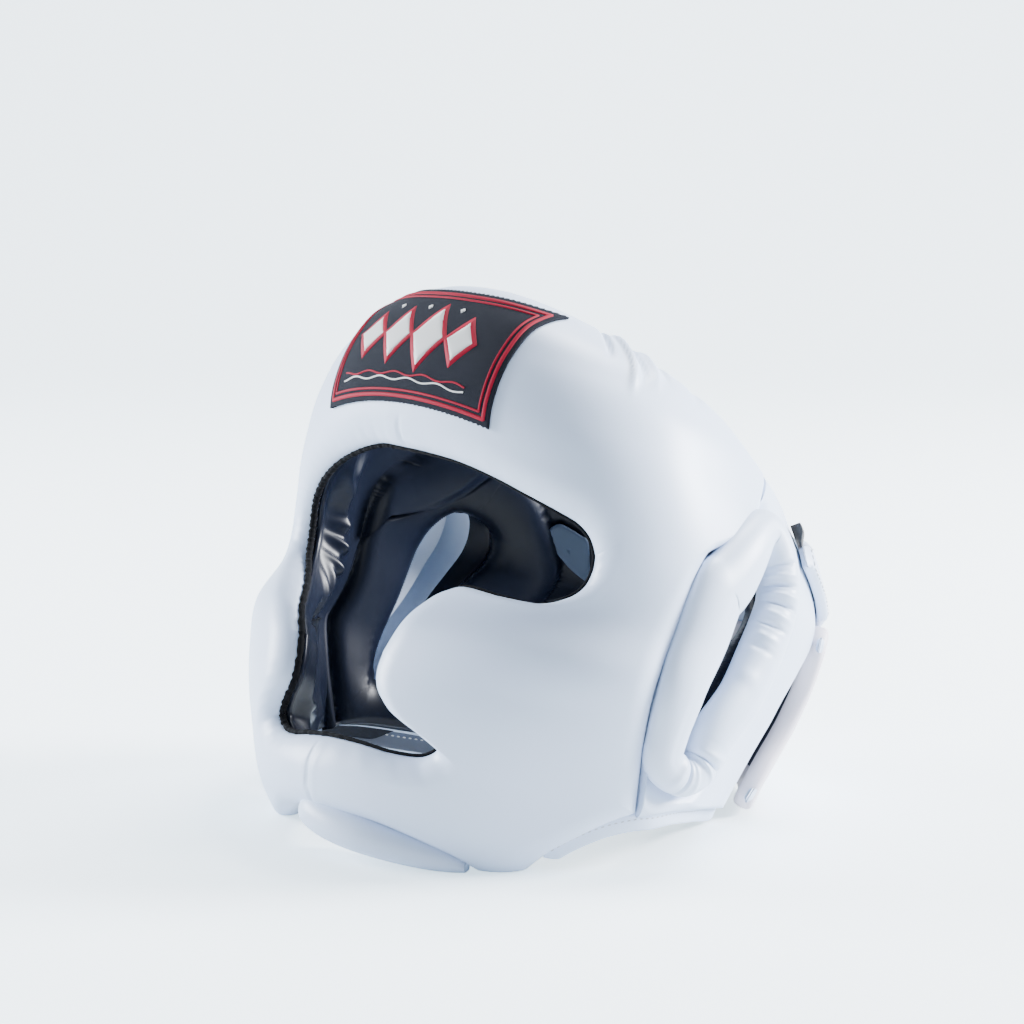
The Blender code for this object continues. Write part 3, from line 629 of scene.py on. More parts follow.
# The black raw edge round the face opening
trimSettings = {"radius": 0.65 * mm, "farRadius": 1.05 * mm, "depth": 8.6 * mm, "fibrePitch": 0.45 * mm}
farSide = smoothStep((np.radians(16) - opening[:, 0]) / np.radians(24))
ragged = 1 + 0.16 * np.sin(np.arange(len(opening)) * 0.83) * np.sin(np.arange(len(opening)) * 0.21) * (0.3 + farSide)
trimRadius = (trimSettings["radius"] + (trimSettings["farRadius"] - trimSettings["radius"]) * farSide) * ragged
trimLine = moved(opening, -0.7 * mm)
trimMiddle = onForm(trimLine[:, 0], trimLine[:, 1], np.full(len(opening), trimSettings["depth"]) - 0.3 * trimRadius)
trimOut = leaned(headNormal(trimLine[:, 0], trimLine[:, 1]))
trimRun = along(trimMiddle, True)
trimPiece = addSweep("rawEdge", trimMiddle, trimOut, np.cross(trimRun, trimOut),
                     ovalProfile(10, 1.3, 1.0)[None] * trimRadius[:, None, None], blackThread, True)
keep = farSide > 0.35
keep &= np.roll(keep, 1) & np.roll(keep, -1)
start = int(np.argmin(keep))
order = np.roll(np.arange(len(keep)), -start)
order = order[keep[order]]
fibres = addFibres("rawEdgeFibres", trimMiddle[order], trimOut[order], trimSettings["fibrePitch"], (0.8 * mm, 2.4 * mm),
                   0.10 * mm, blackThread, 7, closed=False)
for piece in (trimPiece, fibres):
    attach(piece, "root")
    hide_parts("face_trim")
print("raw edge made")

# The ears. Panel columns: angle and share of the panel's outline, a row for each row of the hole in holeRoll.
# Ring columns: angle and share of the roll's middle line, its radius along and out of the head in mm, and the
# depth of its middle in mm
earSettings = {
    "panelGap": 0.3 * mm, "sunk": 0.5 * mm, "underRing": 8.5 * mm, "panelDepth": 15 * mm, "edgeDip": 4.5 * mm,
    "roll": 13 * mm, "perRow": 28, "corners": (0, 8, 10), "liningThick": 2.4 * mm,
    "panel": np.array([
        (121.0, 0.858), (105.0, 0.735), (91.0, 0.644), (80.0, 0.560), (74.5, 0.490), (72.6, 0.420),
        (72.0, 0.360), (72.5, 0.290), (74.0, 0.198), (90.0, 0.226), (120.5, 0.240), (121.5, 0.310),
        (123.0, 0.385), (125.5, 0.450), (134.0, 0.533), (147.0, 0.625), (150.0, 0.750), (138.0, 0.825),
    ]),
    "ring": np.array([
        (106.0, 0.722, 8.5, 8.3, 1.5),
        (102.3, 0.709, 8.8, 8.0, 2.0),
        (96.9, 0.662, 11.2, 8.0, 2.2),
        (91.2, 0.603, 13.2, 7.7, 2.7),
        (85.0, 0.530, 13.4, 7.3, 3.0),
        (80.2, 0.462, 12.0, 6.8, 3.0),
        (78.2, 0.400, 10.8, 6.4, 2.9),
        (76.7, 0.340, 9.0, 6.0, 2.8),
        (77.0, 0.297, 8.2, 6.0, 2.6),
        (83.5, 0.281, 7.6, 7.0, 2.5),
        (88.4, 0.303, 9.0, 7.6, 2.2),
        (91.0, 0.365, 12.2, 8.0, 1.8),
        (96.0, 0.430, 12.2, 8.2, 1.5),
        (100.3, 0.495, 11.2, 8.4, 1.3),
        (103.6, 0.552, 10.0, 8.4, 1.2),
        (106.8, 0.610, 8.6, 8.5, 1.2),
        (108.3, 0.660, 8.6, 8.6, 1.2),
        (108.2, 0.700, 8.6, 8.5, 1.2),
    ]),
    # gathers across the roll: row of the ring table, width in rows, height mm, where round the roll in degrees
    # (0 outwards, 90 into the hole) and how far they reach round it, in degrees
    "gathers": [
        (16.2, 0.09, -1.4, 55, 34), (15.75, 0.12, 1.1, 60, 40), (15.35, 0.08, -2.0, 55, 42), (14.95, 0.13, 1.6, 52, 44),
        (14.62, 0.07, -2.1, 50, 44), (14.25, 0.11, 1.4, 55, 40), (13.9, 0.08, -1.7, 60, 38), (13.45, 0.13, 0.9, 62, 34),
        (13.05, 0.10, -1.0, 64, 30), (12.2, 0.2, 0.5, 60, 30), (0.5, 0.2, -0.6, 80, 30), (1.4, 0.25, 0.5, 80, 30),
        (8.75, 0.04, -2.4, 20, 80), (8.45, 0.12, 0.7, 20, 70), (9.1, 0.12, 0.7, 20, 70), (10.15, 0.05, -2.2, 30, 60),
        (10.4, 0.10, 1.0, 30, 50), (9.85, 0.10, 0.9, 30, 50),
    ],
}


def buildEar(side):
    s = earSettings
    label = "Left" if side > 0 else "Right"
    node = "left" if side > 0 else "right"
    rows = closedRows(np.hstack([holeRoll["hole"], s["panel"]]), s["perRow"], s["corners"])
    ring = closedRows(s["ring"], s["perRow"], ())
    place = np.arange(len(ring)) / s["perRow"]
    if side > 0:
        rows, ring, place = rows[::-1], ring[::-1], place[::-1]
    else:
        rows, ring = rows * np.array([-1, 1, -1, 1]), ring * np.array([-1, 1, 1, 1, 1])
    hole, panel = withRadians(rows[:, 0:2]), withRadians(rows[:, 2:4])
    middle = withRadians(ring[:, 0:2])
    panel = moved(panel, -s["panelGap"])
    footprint = middle + (moved(middle, 1.0 * mm) - middle) * (ring[:, 2:3] * 0.85)

    # panel: low under the ring, then up to the head form and down again at its edge; its hole wall slants
    nearAngle, nearShare = acrossGrid(middle, footprint, (0.0, 0.5))
    farAngle, farShare = acrossGrid(footprint, panel, 0.5 - 0.5 * np.cos(np.linspace(0, np.pi, 34)))
    fromRing, fromEdge = lengthsAcross(farAngle, farShare)
    rise = smoothStep(fromRing / s["roll"])
    depth = s["underRing"] + (s["sunk"] - s["underRing"]) * rise
    depth = depth + s["edgeDip"] * (1 - quarterRound(fromEdge, s["roll"])) * rise
    depth = depth - uneven(farAngle, farShare, 15, 0.4 * mm) * rise
    depth = np.concatenate([np.full(nearAngle.shape, s["underRing"]), depth], axis=1)
    angle, share = np.concatenate([nearAngle, farAngle], axis=1), np.concatenate([nearShare, farShare], axis=1)
    wide = moved(hole, 1.5 * mm)
    innerAngle, innerShare = acrossGrid(wide, panel, np.linspace(0, 1, 14))
    panelPiece = addWall(f"rearPanel{label}", onForm(angle, share, depth),
                         onForm(innerAngle, innerShare, np.full(innerAngle.shape, s["panelDepth"])), white)
    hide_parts(f"rear_panel_{node}")

    # lining: one plump half-oval roll round the hole, flat beyond it, with a sleeve up the hole to the ring
    steps = np.concatenate([np.linspace(0, 0.6, 30), np.linspace(0.64, 1, 12)])
    angle, share = acrossGrid(hole, panel, steps)
    fromEdge = lengthsAcross(angle, share)[1]
    arch = rollHeight(angle, share)
    turned = np.abs((np.degrees(angle) + 180) % 360 - 180)
    arch = np.maximum(arch, 4.2 * mm * (1 - smoothStep(fromEdge / (14 * mm))) * (1 - smoothStep((turned - 100) / 14)))
    top = s["panelDepth"] + 0.4 * mm
    inner = top + s["liningThick"] * (0.4 + 0.6 * smoothStep(fromEdge / (3 * mm))) + arch
    inner = inner + uneven(angle, share, 10, 0.3 * mm)
    liningPiece = addWall(f"rearLining{label}", onForm(angle, share, np.full(inner.shape, top)),
                          onForm(angle, share, inner), black)
    sleeveFrom = onForm(*moved(middle, 2.5 * mm).T, np.full(len(middle), 6.5 * mm))
    sleeveTo = onForm(hole[:, 0], hole[:, 1], np.full(len(hole), top + 1.5 * mm))
    blend = np.linspace(0, 1, 8)[None, :, None]
    sleeve = sleeveFrom[:, None] * (1 - blend) + sleeveTo[:, None] * blend
    level = np.full(len(hole), top)
    outwards = unit(onForm(*moved(hole, 4 * mm).T, level) - onForm(*hole.T, level))
    sleevePiece = addWall(f"holeSleeve{label}", sleeve + outwards[:, None] * 0.9 * mm, sleeve, black)
    for piece in (liningPiece, sleevePiece):
        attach(piece, "root")
        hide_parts(f"rear_lining_{node}")

    # ring: an oval roll carried round its middle line, with gathers as sums of bumps round it
    turn = np.linspace(0, 2 * np.pi, 49)[:-1]
    at = onForm(middle[:, 0], middle[:, 1], ring[:, 4] * mm)
    out = leaned(headNormal(middle[:, 0], middle[:, 1]))
    aside = np.cross(out, along(at, True))
    swell = np.zeros((len(ring), len(turn)))
    for row, width, height, toward, reach in s["gathers"]:
        near = (place - row + 9) % 18 - 9
        round_ = (np.degrees(turn) + toward + 180) % 360 - 180
        swell += height * np.exp(-(near[:, None] / width) ** 2 - (round_[None, :] / reach) ** 2)
    swell += uneven(middle[:, :1] + turn[None, :] * 0.05, middle[:, 1:] + 0.03 * np.cos(turn)[None, :], 12, 0.3)
    points = (at[:, None] + out[:, None] * (np.cos(turn)[None, :] * (ring[:, 3:4] + swell) * mm)[..., None]
              + aside[:, None] * (np.sin(turn)[None, :] * (ring[:, 2:3] + swell) * mm)[..., None])
    ringPiece = addMesh(f"earRing{label}", points, gridFaces(len(ring), len(turn), True, True), white)
    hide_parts(f"ear_ring_{node}")
    for piece in (panelPiece, ringPiece):
        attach(piece, "root")


for side in (1, -1):
    buildEar(side)
print("ears made")

# The forehead patch: dark cloth with a red double border, and a row of satin lozenges between thin waves and dots
patchSettings = {
    "halfWidth": 45 * mm, "low": 0.733, "arch": 0.017, "high": 0.946, "thick": 0.9 * mm, "lift": 0.6 * mm,
    "columns": 121, "rows": 81, "satinSize": (45.0, 52.0), "threadPitch": 0.26,
}


def patchAngle(across, share):
    # angle at which the form has x = across * halfWidth
    want = across * patchSettings["halfWidth"]
    angle = want / head["frontReach"]
    for _ in range(14):
        angle = angle + (want - headPoint(angle, share)[..., 0]) / head["frontReach"]
    return angle


def patchPoint(across, up, lift):
    # across from -1 to 1 and up from 0 to 1 over the patch, at a height above its cloth
    s = patchSettings
    low = s["low"] + s["arch"] * (1 - across**2)
    share = low + (s["high"] - low) * up
    return onForm(patchAngle(across, share), share, -s["lift"] - np.asarray(lift) - uneven(across, share, 6, 0.12 * mm))


def buildPatch():
    s = patchSettings
    across = np.linspace(-1, 1, s["columns"])[:, None] + np.zeros((1, s["rows"]))
    up = np.linspace(0, 1, s["rows"])[None, :] + np.zeros(across.shape)
    ragged = 0.006 * np.sin(np.arange(s["columns"]) * 2.3)[:, None] * (np.abs(up - 0.5) > 0.49)
    top = patchPoint(across, up + ragged, s["thick"] - 0.35 * mm)
    bottom = patchPoint(across, up + ragged, -0.35 * mm)
    points = np.concatenate([top.reshape(-1, 3), bottom.reshape(-1, 3)])
    size = s["columns"] * s["rows"]
    face = gridFaces(s["columns"], s["rows"], False, False)
    index = np.arange(size).reshape(s["columns"], s["rows"])
    rim = np.concatenate([index[:, 0], index[-1, 1:], index[-2::-1, -1], index[0, -2:0:-1]])
    following = np.roll(rim, -1)
    sides = np.stack([rim, rim + size, following + size, following], -1)
    uv = np.stack([across.ravel() * 46, up.ravel() * 60], -1)
    faces = np.concatenate([face, face[:, [0, 3, 2, 1]] + size, sides])
    return addMesh("patchCloth", points, faces, cloth, np.concatenate([uv, uv]))


def satinBar(name, path, halfWidth, lift, material, closed=False):
    # a bar of satin stitch on the patch: a path in patch shares with a half width in mm at each of its points,
    # raised in the middle as 1 - x^4 and ribbed by its threads
    path = np.asarray(path, float)
    scale = np.array(patchSettings["satinSize"])
    widths = np.broadcast_to(np.asarray(halfWidth, float), (len(path),))
    line = np.concatenate([path, path[:1]]) if closed else path
    widths = np.concatenate([widths, widths[:1]]) if closed else widths
    step = np.linalg.norm(np.diff(line * scale, axis=0), axis=1)
    run = np.concatenate([[0], np.cumsum(step)])
    count = max(int(run[-1] / patchSettings["threadPitch"]), 8)
    at = np.linspace(0, run[-1], count, endpoint=not closed)
    middle = np.stack([np.interp(at, run, line[:, k]) for k in range(2)], -1)
    half = np.interp(at, run, widths)
    later, earlier = (at + 0.15, at - 0.15) if not closed else ((at + 0.15) % run[-1], (at - 0.15) % run[-1])
    ahead = np.stack([np.interp(later, run, line[:, k]) for k in range(2)], -1)
    behind = np.stack([np.interp(earlier, run, line[:, k]) for k in range(2)], -1)
    heading = unit((ahead - behind) * scale)
    side = np.stack([-heading[:, 1], heading[:, 0]], -1) / scale
    across = np.linspace(-1, 1, 7)
    rib = 0.07 * mm * (np.arange(count) % 2)[:, None]
    place = middle[:, None] + side[:, None] * (across[None, :] * half[:, None])[..., None]
    height = lift + 0.30 * mm * (1 - across**4)[None, :] + rib * (1 - across**2)[None, :]
    top = patchPoint(place[..., 0], place[..., 1], height)
    bottom = patchPoint(place[..., 0], place[..., 1], np.full(height.shape, lift - 0.15 * mm))
    return addWall(name, top[:, ::-1], bottom[:, ::-1], material, closedLoop=closed)


patchPiece = buildPatch()
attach(patchPiece, "root")
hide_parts("forehead_patch")
embroidery = []
cloth0 = patchSettings["thick"] - 0.3 * mm
for inset, width in ((0.056, 0.75), (0.104, 0.45)):
    x, low, high = 1 - inset, inset * 0.86, 1 - inset * 0.86
    corners = [(-x, low), (x, low), (x, high), (-x, high)]
    embroidery.append(satinBar(f"redBorder{int(inset * 1000)}", corners, width, cloth0, redThread, True))
lozenges = [(-0.60, 0.15, 8.0), (-0.24, 0.15, 10.5), (0.14, 0.17, 13.0), (0.50, 0.13, 8.5)]
for index, (x, wide, high) in enumerate(lozenges):
    ends = [(x - wide, 0.54), (x, 0.54), (x + wide, 0.54)]
    embroidery.append(satinBar(f"redLozenge{index}", [(x - wide - 0.045, 0.54), (x, 0.54), (x + wide + 0.045, 0.54)],
                               (0.15, high + 3.2, 0.15), cloth0, redThread))
    embroidery.append(satinBar(f"paleLozenge{index}", ends, (0.15, high, 0.15), cloth0 + 0.22 * mm, paleThread))
for index, y in enumerate((0.175, 0.215)):
    wave = [(x, y + 0.012 * np.sin(x * 18 + index * 3.14)) for x in np.linspace(-0.78, 0.72, 60)]
    embroidery.append(satinBar(f"redWave{index}", wave, 0.35, cloth0, redThread if index else paleThread))
for index, x in enumerate((-0.42, -0.05, 0.33)):
    embroidery.append(satinBar(f"paleDot{index}", [(x - 0.022, 0.80), (x, 0.80), (x + 0.022, 0.80)],
                               (0.1, 1.3, 0.1), cloth0, paleThread))
for piece in embroidery:
    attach(piece, "root")
    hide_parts("forehead_patch")
print("patch made")

# The back flap, its binding, the closure strap and the hook tape
backSettings = {
    "flapTo": 234.0, "flapHigh": 0.582, "flapClearance": 7 * mm, "flapThick": 4 * mm,
    "flapStands": 0.3 * mm, "bindingRadius": 2.8 * mm, "bindingWide": 4.4 * mm,
    # the flap's near edge: how far down it as a share, its angle
    "flapEdge": np.array([(0.0, 129.0), (0.13, 131.5), (0.26, 134.0), (0.42, 134.8), (0.55, 134.0), (0.68, 132.5),
                          (0.80, 129.6), (0.90, 126.6), (1.0, 122.6)]),
    "strapFrom": 122.5, "strapTo": 230.0, "strapTop": 0.776, "strapDrop": 0.044, "strapBottom": 0.612,
    "strapCut": 0.080, "strapThick": 4.6 * mm, "strapStands": 0.4 * mm,
}


def shareAboveFloor(angle, height, share):
    share = share + np.zeros(np.shape(angle))
    for _ in range(8):
        z = unshifted(angle, share, 0.0)[..., 2]
        share = share + (height + floorHeight - z) / head["crownHeight"]
    return share


def flapGrid(columns, rows, inset=0.0):
    # grid over the flap, set back by inset in mm from its edges, with its near corners rounded off
    s = backSettings
    up = np.linspace(0, 1, rows)
    start = readCurve(s["flapEdge"], 1 - up, 1)[None, :] + inset / 1.7
    start = start + 1.2 * inset * (1 - quarterRound(np.minimum(up, 1 - up), 0.09))[None, :]
    angle = np.radians(start + (s["flapTo"] - start) * np.linspace(0, 1, columns)[:, None] ** 1.15)
    low = shareAboveFloor(angle[:, :1], s["flapClearance"] + inset * mm, 0.3)
    share = low + (s["flapHigh"] - inset * mm / head["crownHeight"] - low) * up[None, :]
    return angle, share


def roundedSlab(angle, share, stands, thick, edge):
    # outer and inner faces that meet in a round at all four sides
    fromEnds = np.minimum(*lengthsAcross(angle.T, share.T)).T
    fromSides = np.minimum(*lengthsAcross(angle, share))
    close = np.minimum(quarterRound(fromEnds + 0.02 * mm, edge), quarterRound(fromSides + 0.02 * mm, edge))
    middle = -stands - thick / 2
    return middle - thick / 2 * close, middle + thick / 2 * close


s = backSettings
angle, share = flapGrid(160, 60, 1.5)
outer, inner = roundedSlab(angle, share, s["flapStands"] + 1.3 * mm, s["flapThick"] - 1.3 * mm, 1.2 * mm)
soft = uneven(angle, share, 14, 0.4 * mm)
flapOuter = addWall("flapLeather", onForm(angle, share, outer - soft), onForm(angle, share, inner), white,
                    closedLoop=False)
angle, share = flapGrid(160, 60, 3.5)
outer, inner = roundedSlab(angle, share, s["flapStands"], 1.1 * mm, 0.6 * mm)
flapInner = addWall("flapLining", onForm(angle, share, outer), onForm(angle, share, inner), black,
                    closedLoop=False)
for piece, slot in ((flapOuter, "white_leather"), (flapInner, "black_lining")):
    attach(piece, "root")
    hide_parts("back_flap")

edges = np.stack(flapGrid(160, 60), -1)
offset = 0.6 * mm
lower = moved(edges[::-1, 0], offset, False)
upper = moved(edges[:, -1], offset, False)
end = moved(edges[0], offset, False)
corner = 8
line = np.concatenate([lower[:-corner], end[corner:-corner], upper[corner:]])
smooth = np.ones(15) / 15
padded = np.concatenate([np.repeat(line[:1], 7, axis=0), line, np.repeat(line[-1:], 7, axis=0)])
line = np.stack([np.convolve(padded[:, k], smooth, "valid") for k in range(2)], -1)
depth = np.full(len(line), -s["flapStands"] - s["flapThick"] / 2 + 1.0 * mm)
bindingMiddle = onForm(line[:, 0], line[:, 1], depth)
bindingOut = leaned(headNormal(line[:, 0], line[:, 1]))
bindingSide = unit(np.cross(along(bindingMiddle, False), bindingOut))
profile = ovalProfile(20, s["bindingRadius"] + 1.5 * mm, s["bindingWide"], 3.0)
# the binding is drawn in the greyed leather: painted shade on a cream binding
flapBinding = addSweep("flapBinding", bindingMiddle + bindingSide * 1.2 * mm, bindingOut, -bindingSide,
                       profile[None], shadedBindingSkin, False)
stitchLine = bindingMiddle + bindingSide * 3.6 * mm
flapStitchesOut = addStitches("flapStitchesOut", stitchLine + bindingOut * 3.2 * mm, bindingOut,
                              3.0 * mm, 2.2 * mm, 0.35 * mm, whiteThread)
flapStitchesIn = addStitches("flapStitchesIn", stitchLine - bindingOut * 3.2 * mm, -bindingOut,
                             3.0 * mm, 2.2 * mm, 0.35 * mm, greyThread)
for piece in (flapBinding, flapStitchesOut, flapStitchesIn):
    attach(piece, "root")
    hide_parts("flap_binding")

# the strap's free end is cut on a slant, so that its lower edge climbs towards the ear
angle = np.radians(np.linspace(s["strapFrom"], s["strapTo"], 200))[:, None] + np.zeros((1, 44))
up = np.linspace(0, 1, 44)[None, :]
cut = s["strapCut"] * (1 - np.clip((np.degrees(angle) - s["strapFrom"]) / 14, 0, 1))
drop = s["strapDrop"] * (1 - smoothStep((np.degrees(angle) - s["strapFrom"]) / 32))
bottom = s["strapBottom"] + cut - 0.016 * smoothStep((np.degrees(angle) - 140) / 12)
share = bottom + (s["strapTop"] - drop - bottom) * up
angle = angle + np.radians(3.0) * (1 - smoothStep((np.degrees(angle) - s["strapFrom"]) / 20)) * up**2
outer, inner = roundedSlab(angle, share, s["strapStands"], s["strapThick"], 1.8 * mm)
soft = uneven(angle, share, 10, 0.35 * mm)
strap = addWall("strapLeather", onForm(angle, share, outer - soft), onForm(angle, share, inner), white,
                closedLoop=False)
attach(strap, "root")
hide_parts("closure_strap")


def strapStitches(name, insetMm):
    # a line round the free end, at an inset from its edges
    columns = int(insetMm * 44 / 36)
    stop = 170
    run = np.concatenate([np.stack([angle[stop:3:-1, columns], share[stop:3:-1, columns]], -1),
                          np.stack([angle[3, columns:-columns], share[3, columns:-columns]], -1),
                          np.stack([angle[3:stop, -columns], share[3:stop, -columns]], -1)])
    at = onForm(run[:, 0], run[:, 1], np.full(len(run), -s["strapStands"] - s["strapThick"] - 0.25 * mm))
    return addStitches(name, at, leaned(headNormal(run[:, 0], run[:, 1])), 3.0 * mm, 2.3 * mm, 0.35 * mm, whiteThread)


strapSeam = strapStitches("strapStitches", 4)
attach(strapSeam, "root")
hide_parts("closure_strap")

# the hook tape under the strap shows as a dark lip where the strap's top corner lifts off
up = np.linspace(0, 1, 30)[None, :]
angle = np.radians(137.0 - 13.0 * smoothStep((up - 0.50) / 0.3) + (152 - 137.0) * np.linspace(0, 1, 60)[:, None])
share = 0.655 + (0.766 - 0.655) * up + np.zeros(angle.shape)
lift = 3.0 * mm * smoothStep((up - 0.6) / 0.3) * (1 - smoothStep((np.degrees(angle) - 125) / 8))
outer, inner = roundedSlab(angle, share, 0.1 * mm, 0.5 * mm, 0.3 * mm)
outer, inner = outer - 1.5 * lift, inner - 0.2 * lift
tape = addWall("hookTape", onForm(angle, share, outer), onForm(angle, share, inner), tapeMaterial, closedLoop=False)
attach(tape, "root")
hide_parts("hook_tape")
print("back flap and strap made")

# The stitched binding along the lower edge. Columns: angle, share of its upper line
hemSettings = {
    "high": 8.4 * mm, "thick": 4.2 * mm, "depth": 7.4 * mm, "skirtDepth": 10.6 * mm,
    "line": np.array([(55.0, 0.112), (60.0, 0.146), (66.0, 0.178), (74.0, 0.205), (80.0, 0.216),
                      (86.0, 0.227), (104.0, 0.239), (124.0, 0.248)]),
}


def buildHem(side):
    s = hemSettings
    name = "Left" if side > 0 else "Right"
    angle = np.radians(np.linspace(s["line"][0, 0], s["line"][-1, 0], 220))
    top = readCurve(s["line"], np.degrees(angle), 1)
    middle = top - s["high"] / head["crownHeight"] / 2
    at = onForm(side * angle, middle, np.full(len(angle), s["depth"]))
    out = leaned(headNormal(side * angle, middle))
    across = unit(np.cross(along(at, False), out)) * -side
    profile = ovalProfile(24, s["thick"] / 2, s["high"] / 2, 3.0)
    fromEnd = np.minimum(np.linspace(0, 30, len(angle)), np.linspace(30, 0, len(angle)))
    taper = np.sqrt(smoothStep(fromEnd / 1.2)) * 0.97 + 0.03
    made = addSweep(f"hem{name}", at, out * side, across, profile[None] * taper[:, None, None], white, False)
    seam = at + across * s["high"] * 0.18 + out * (s["thick"] / 2 - 0.05 * mm)
    stitches = addStitches(f"hemStitches{name}", seam[6:-6], out[6:-6], 2.6 * mm, 1.8 * mm, 0.30 * mm, greyThread)
    inside = at + across * s["high"] * 0.2 - out * (s["thick"] / 2 + 0.4 * mm)
    insideStitches = addStitches(f"hemInsideStitches{name}", inside[6:-6], -out[6:-6],
                                 2.6 * mm, 1.8 * mm, 0.35 * mm, whiteThread)
    # the white binding's inner face as a grey band: painted shade where it turns into the guard
    band = addSweep(f"hemInsideShadeBand{name}", at - out * (s["thick"] / 2 + 0.1 * mm), out * side, across,
                    ovalProfile(12, 0.3 * mm, s["high"] * 0.46, 3.0)[None] * taper[:, None, None], bindingInsideShadeGrey, False)
    for piece in (made, band, stitches, insideStitches):
        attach(piece, "root")
        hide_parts(f"bottom_binding_{name.lower()}")

    # black lining carried down behind the binding, all of it in front and its top alone behind the ear
    angle = np.radians(np.linspace(62, 122, 160))
    top = readCurve(s["line"], np.degrees(angle), 1)
    below = s["high"] / head["crownHeight"] * (0.7 - 0.7 * smoothStep((np.degrees(angle) - 95) / 8))
    shares = np.stack([top - below, top, top + 0.03, top + 0.06], -1)
    angles = side * angle[:, None] + np.zeros(shares.shape)
    depths = s["skirtDepth"] + np.array([0, 0.4, 3.4, 6.4])[None, :] * mm + np.zeros(shares.shape)
    outer, inner = onForm(angles, shares, depths), onForm(angles, shares, depths + 1.2 * mm)
    if side < 0:
        outer, inner = outer[::-1], inner[::-1]
    skirt = addWall(f"liningSkirt{name}", outer, inner, black, closedLoop=False)
    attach(skirt, "root")
    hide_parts(f"rear_lining_{name.lower()}")


for side in (1, -1):
    buildHem(side)
print("bindings made")

# The under-chin pad. Columns: x as a share of cheekWidth, y as a share of frontReach, height and depth of
# its section as shares of thick, and its height above the floor in mm
padSettings = {
    "thick": 16.6 * mm,
    "line": np.array([
        (-0.105, -0.668, 0.45, 0.50, 10.5),
        (-0.088, -0.690, 0.80, 1.10, 10.0),
        (-0.040, -0.706, 1.00, 1.40, 9.0),
        (0.050, -0.714, 1.00, 1.45, 7.0),
        (0.150, -0.700, 0.95, 1.40, 5.0),
        (0.250, -0.664, 0.85, 1.25, 3.0),
        (0.340, -0.620, 0.72, 1.00, 1.3),
        (0.420, -0.575, 0.52, 0.75, 0.3),
        (0.480, -0.540, 0.25, 0.40, 0.0),
    ]),
}


def buildPad():
    s = padSettings
    t = np.linspace(0, len(s["line"]) - 1, 120)
    index = np.column_stack([np.arange(len(s["line"])), s["line"]])
    x, y, tall, deep, lift = (readCurve(index, t, k) for k in (1, 2, 3, 4, 5))
    tall, deep = tall * s["thick"] / 2, deep * s["thick"] / 2
    middle = np.stack([x * head["cheekWidth"], y * head["frontReach"] - shift[1], tall * 0.82 + lift * mm], -1)
    run = along(middle * np.array([1, 1, 0]), False)
    up = np.zeros(middle.shape) + np.array([0, 0, 1.0])
    profile = ovalProfile(40, 1.0, 1.0, 2.3)
    scaled = np.stack([profile[None, :, 0] * tall[:, None], profile[None, :, 1] * deep[:, None]], -1)
    points = middle[:, None] + up[:, None] * scaled[..., 0:1] + np.cross(run, up)[:, None] * scaled[..., 1:2]
    points[..., 2] = np.maximum(points[..., 2], 0.05 * mm)
    faces = gridFaces(120, 40, False, True)
    return capped("chinPad", points, faces, 120, 40, white)


# A pale grey-blue piece, a quadrilateral and a sliver, on the far rear lining. Columns: angle and share
linerPatchSettings = {
    "depth": 19.6 * mm, "thick": 0.7 * mm,
    "corners": np.array([(-132.0, 0.742), (-135.6, 0.768), (-142.0, 0.760), (-143.5, 0.745), (-142.5, 0.640),
                         (-138.0, 0.668), (-135.5, 0.692), (-133.0, 0.722)]),
}


def buildLinerPatch():
    s = linerPatchSettings
    rim = closedRows(s["corners"], 6, (0, 2, 4))
    middle = rim.mean(axis=0)
    steps = np.linspace(0, 1, 9)[None, :, None]
    grid = withRadians((middle * (1 - steps) + rim[:, None] * steps).reshape(-1, 2)).reshape(len(rim), 9, 2)
    outer = onForm(grid[..., 0], grid[..., 1], np.full(grid.shape[:2], s["depth"]))
    inner = onForm(grid[..., 0], grid[..., 1], np.full(grid.shape[:2], s["depth"] + s["thick"]))
    return addWall("linerPatch", outer[::-1], inner[::-1], paleLining)


linerPatch = buildLinerPatch()
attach(linerPatch, "root")
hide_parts("rear_lining_right")
print("liner patch made")

chinPad = buildPad()
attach(chinPad, "root")
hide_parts("under_chin_pad")
print("chin pad made")

# Studio: a pale floor that curves up behind, broad soft lamps, and the camera at the photograph's angle
studioSettings = {
    "floor": "#f2f6f8", "floorGlow": 1.64, "floorSpill": 0.40, "sky": "#d6e4f6", "skyStrength": 0.5,
    "paperNear": 2.4, "paperLong": 6.0, "paperFlatTo": 1.6, "paperBend": 0.9,
    "azimuth": 46.2, "elevation": 10.4, "distance": 1.2, "lens": 105.47,
    "aim": (0.0, 10 * mm, 93.5 * mm), "modelFloor": 31.5 * mm, "shiftX": 0.01816, "shiftY": 0.07969,
}


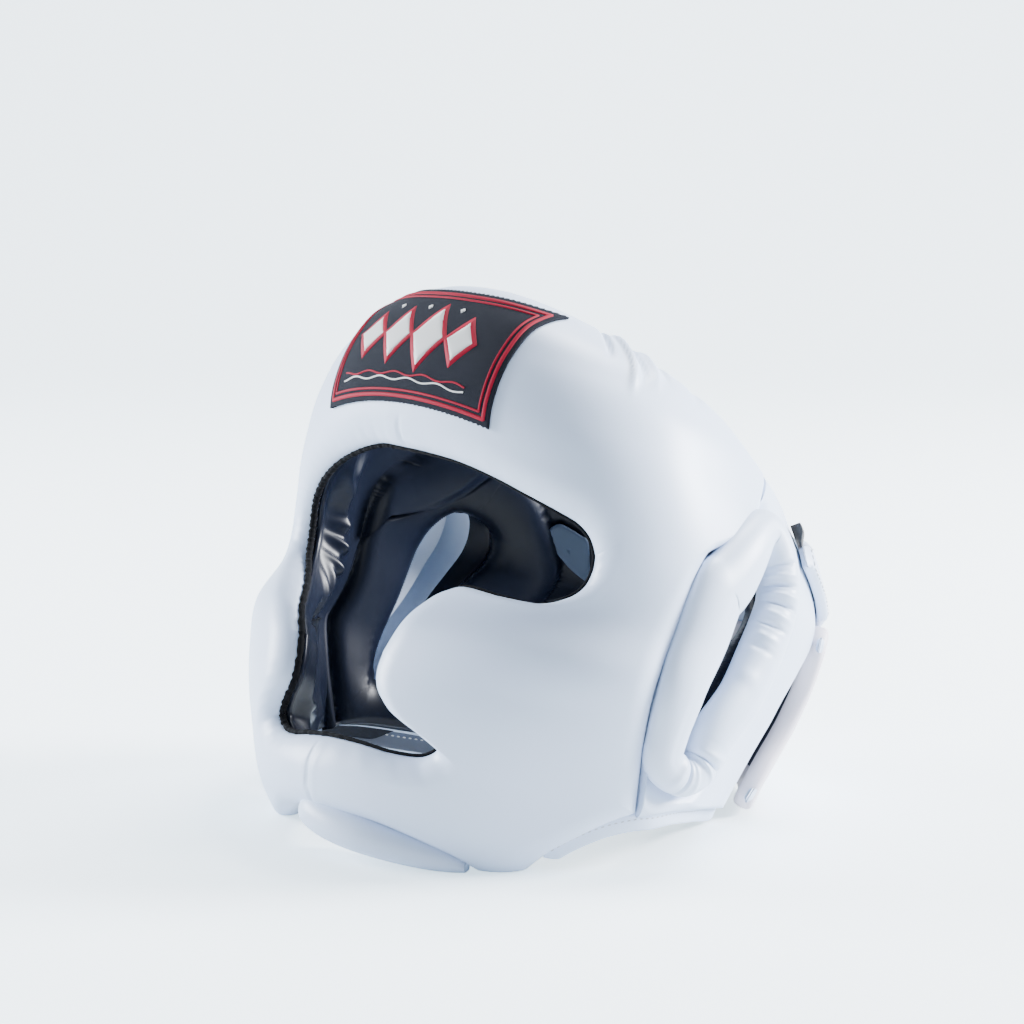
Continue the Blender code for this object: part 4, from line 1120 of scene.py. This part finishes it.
def buildStudio():
    s = studioSettings
    run = np.linspace(-s["paperNear"], s["paperLong"] - s["paperNear"], 60)
    flatTo, bend = s["paperFlatTo"], s["paperBend"]
    azimuth = np.radians(s["azimuth"])
    back = np.array([-np.sin(azimuth), np.cos(azimuth), 0])
    right = np.array([np.cos(azimuth), np.sin(azimuth), 0])
    flat = np.clip(run, None, flatTo)
    turn = np.clip((run - flatTo) / bend, 0, np.pi / 2)
    rise = np.clip(run - flatTo - bend * np.pi / 2, 0, None)
    out = flat + bend * np.sin(turn)
    up = bend * (1 - np.cos(turn)) + rise
    across = np.linspace(-3, 3, 9)
    points = (back[None, None] * out[:, None, None] + right[None, None] * across[None, :, None]
              + np.array([0, 0, 1.0]) * up[:, None, None])
    made, tree, shader = newMaterial("paleStudioPaper", s["floor"], 0.75)
    shader.inputs["Specular IOR Level"].default_value = 0.3
    shader.inputs["Emission Color"].default_value = linear("#d0e7f2")
    seen = addNode(tree, "ShaderNodeLightPath").outputs["Is Camera Ray"]
    glow = addNode(tree, "ShaderNodeMapRange", {"To Min": s["floorSpill"], "To Max": s["floorGlow"]}, Value=seen)
    tree.links.new(glow.outputs[0], shader.inputs["Emission Strength"])
    faces = gridFaces(60, 9, False, False)[:, ::-1]
    floor = addMesh("studioFloor", points, faces, made)


def addLamp(name, place, target, size, power, colour):
    lamp = bpy.data.lights.new(name, "AREA")
    lamp.shape = "DISK"
    lamp.size = size
    lamp.energy = power
    lamp.color = linear(colour)[:3]
    made = bpy.data.objects.new(name, lamp)
    bpy.context.scene.collection.objects.link(made)
    back = unit(np.array(place) - np.array(target))
    right = unit(np.cross([0, 0, 1.0], back))
    up = np.cross(back, right)
    made.matrix_world = Matrix([[right[k], up[k], back[k], place[k]] for k in range(3)] + [[0, 0, 0, 1]])


def buildCamera():
    s = studioSettings
    azimuth, elevation = np.radians(s["azimuth"]), np.radians(s["elevation"])
    aim = np.array(s["aim"]) + np.array([0, -shift[1], s["modelFloor"] - floorHeight])
    back = np.array([np.sin(azimuth) * np.cos(elevation), -np.cos(azimuth) * np.cos(elevation), np.sin(elevation)])
    right = np.array([np.cos(azimuth), np.sin(azimuth), 0])
    up = np.cross(back, right)
    eye = aim + back * s["distance"]
    lens = bpy.data.cameras.new("photoCamera")
    lens.lens, lens.sensor_width, lens.clip_start = s["lens"], 36, 0.01
    lens.shift_x, lens.shift_y = s["shiftX"], s["shiftY"]
    made = bpy.data.objects.new("photoCamera", lens)
    bpy.context.scene.collection.objects.link(made)
    made.matrix_world = Matrix([[right[k], up[k], back[k], eye[k]] for k in range(3)] + [[0, 0, 0, 1]])
    bpy.context.scene.camera = made


buildStudio()
addLamp("keyLamp", (-1.7, -1.0, 0.65), (0, 0, 0.1), 1.1, 130, "#f0f6ff")
addLamp("sideLamp", (1.2, 1.65, 0.8), (0, 0, 0.1), 0.8, 220, "#f8faff")
addLamp("topLamp", (0.0, 0.9, 1.9), (0, 0, 0.1), 1.0, 80, "#f8fbff")
world = bpy.data.worlds.new("softStudio")
bpy.context.scene.world = world
world.use_nodes = True
sky = world.node_tree.nodes["Background"]
sky.inputs["Color"].default_value = linear(studioSettings["sky"])
sky.inputs["Strength"].default_value = studioSettings["skyStrength"]
buildCamera()
print("studio made")
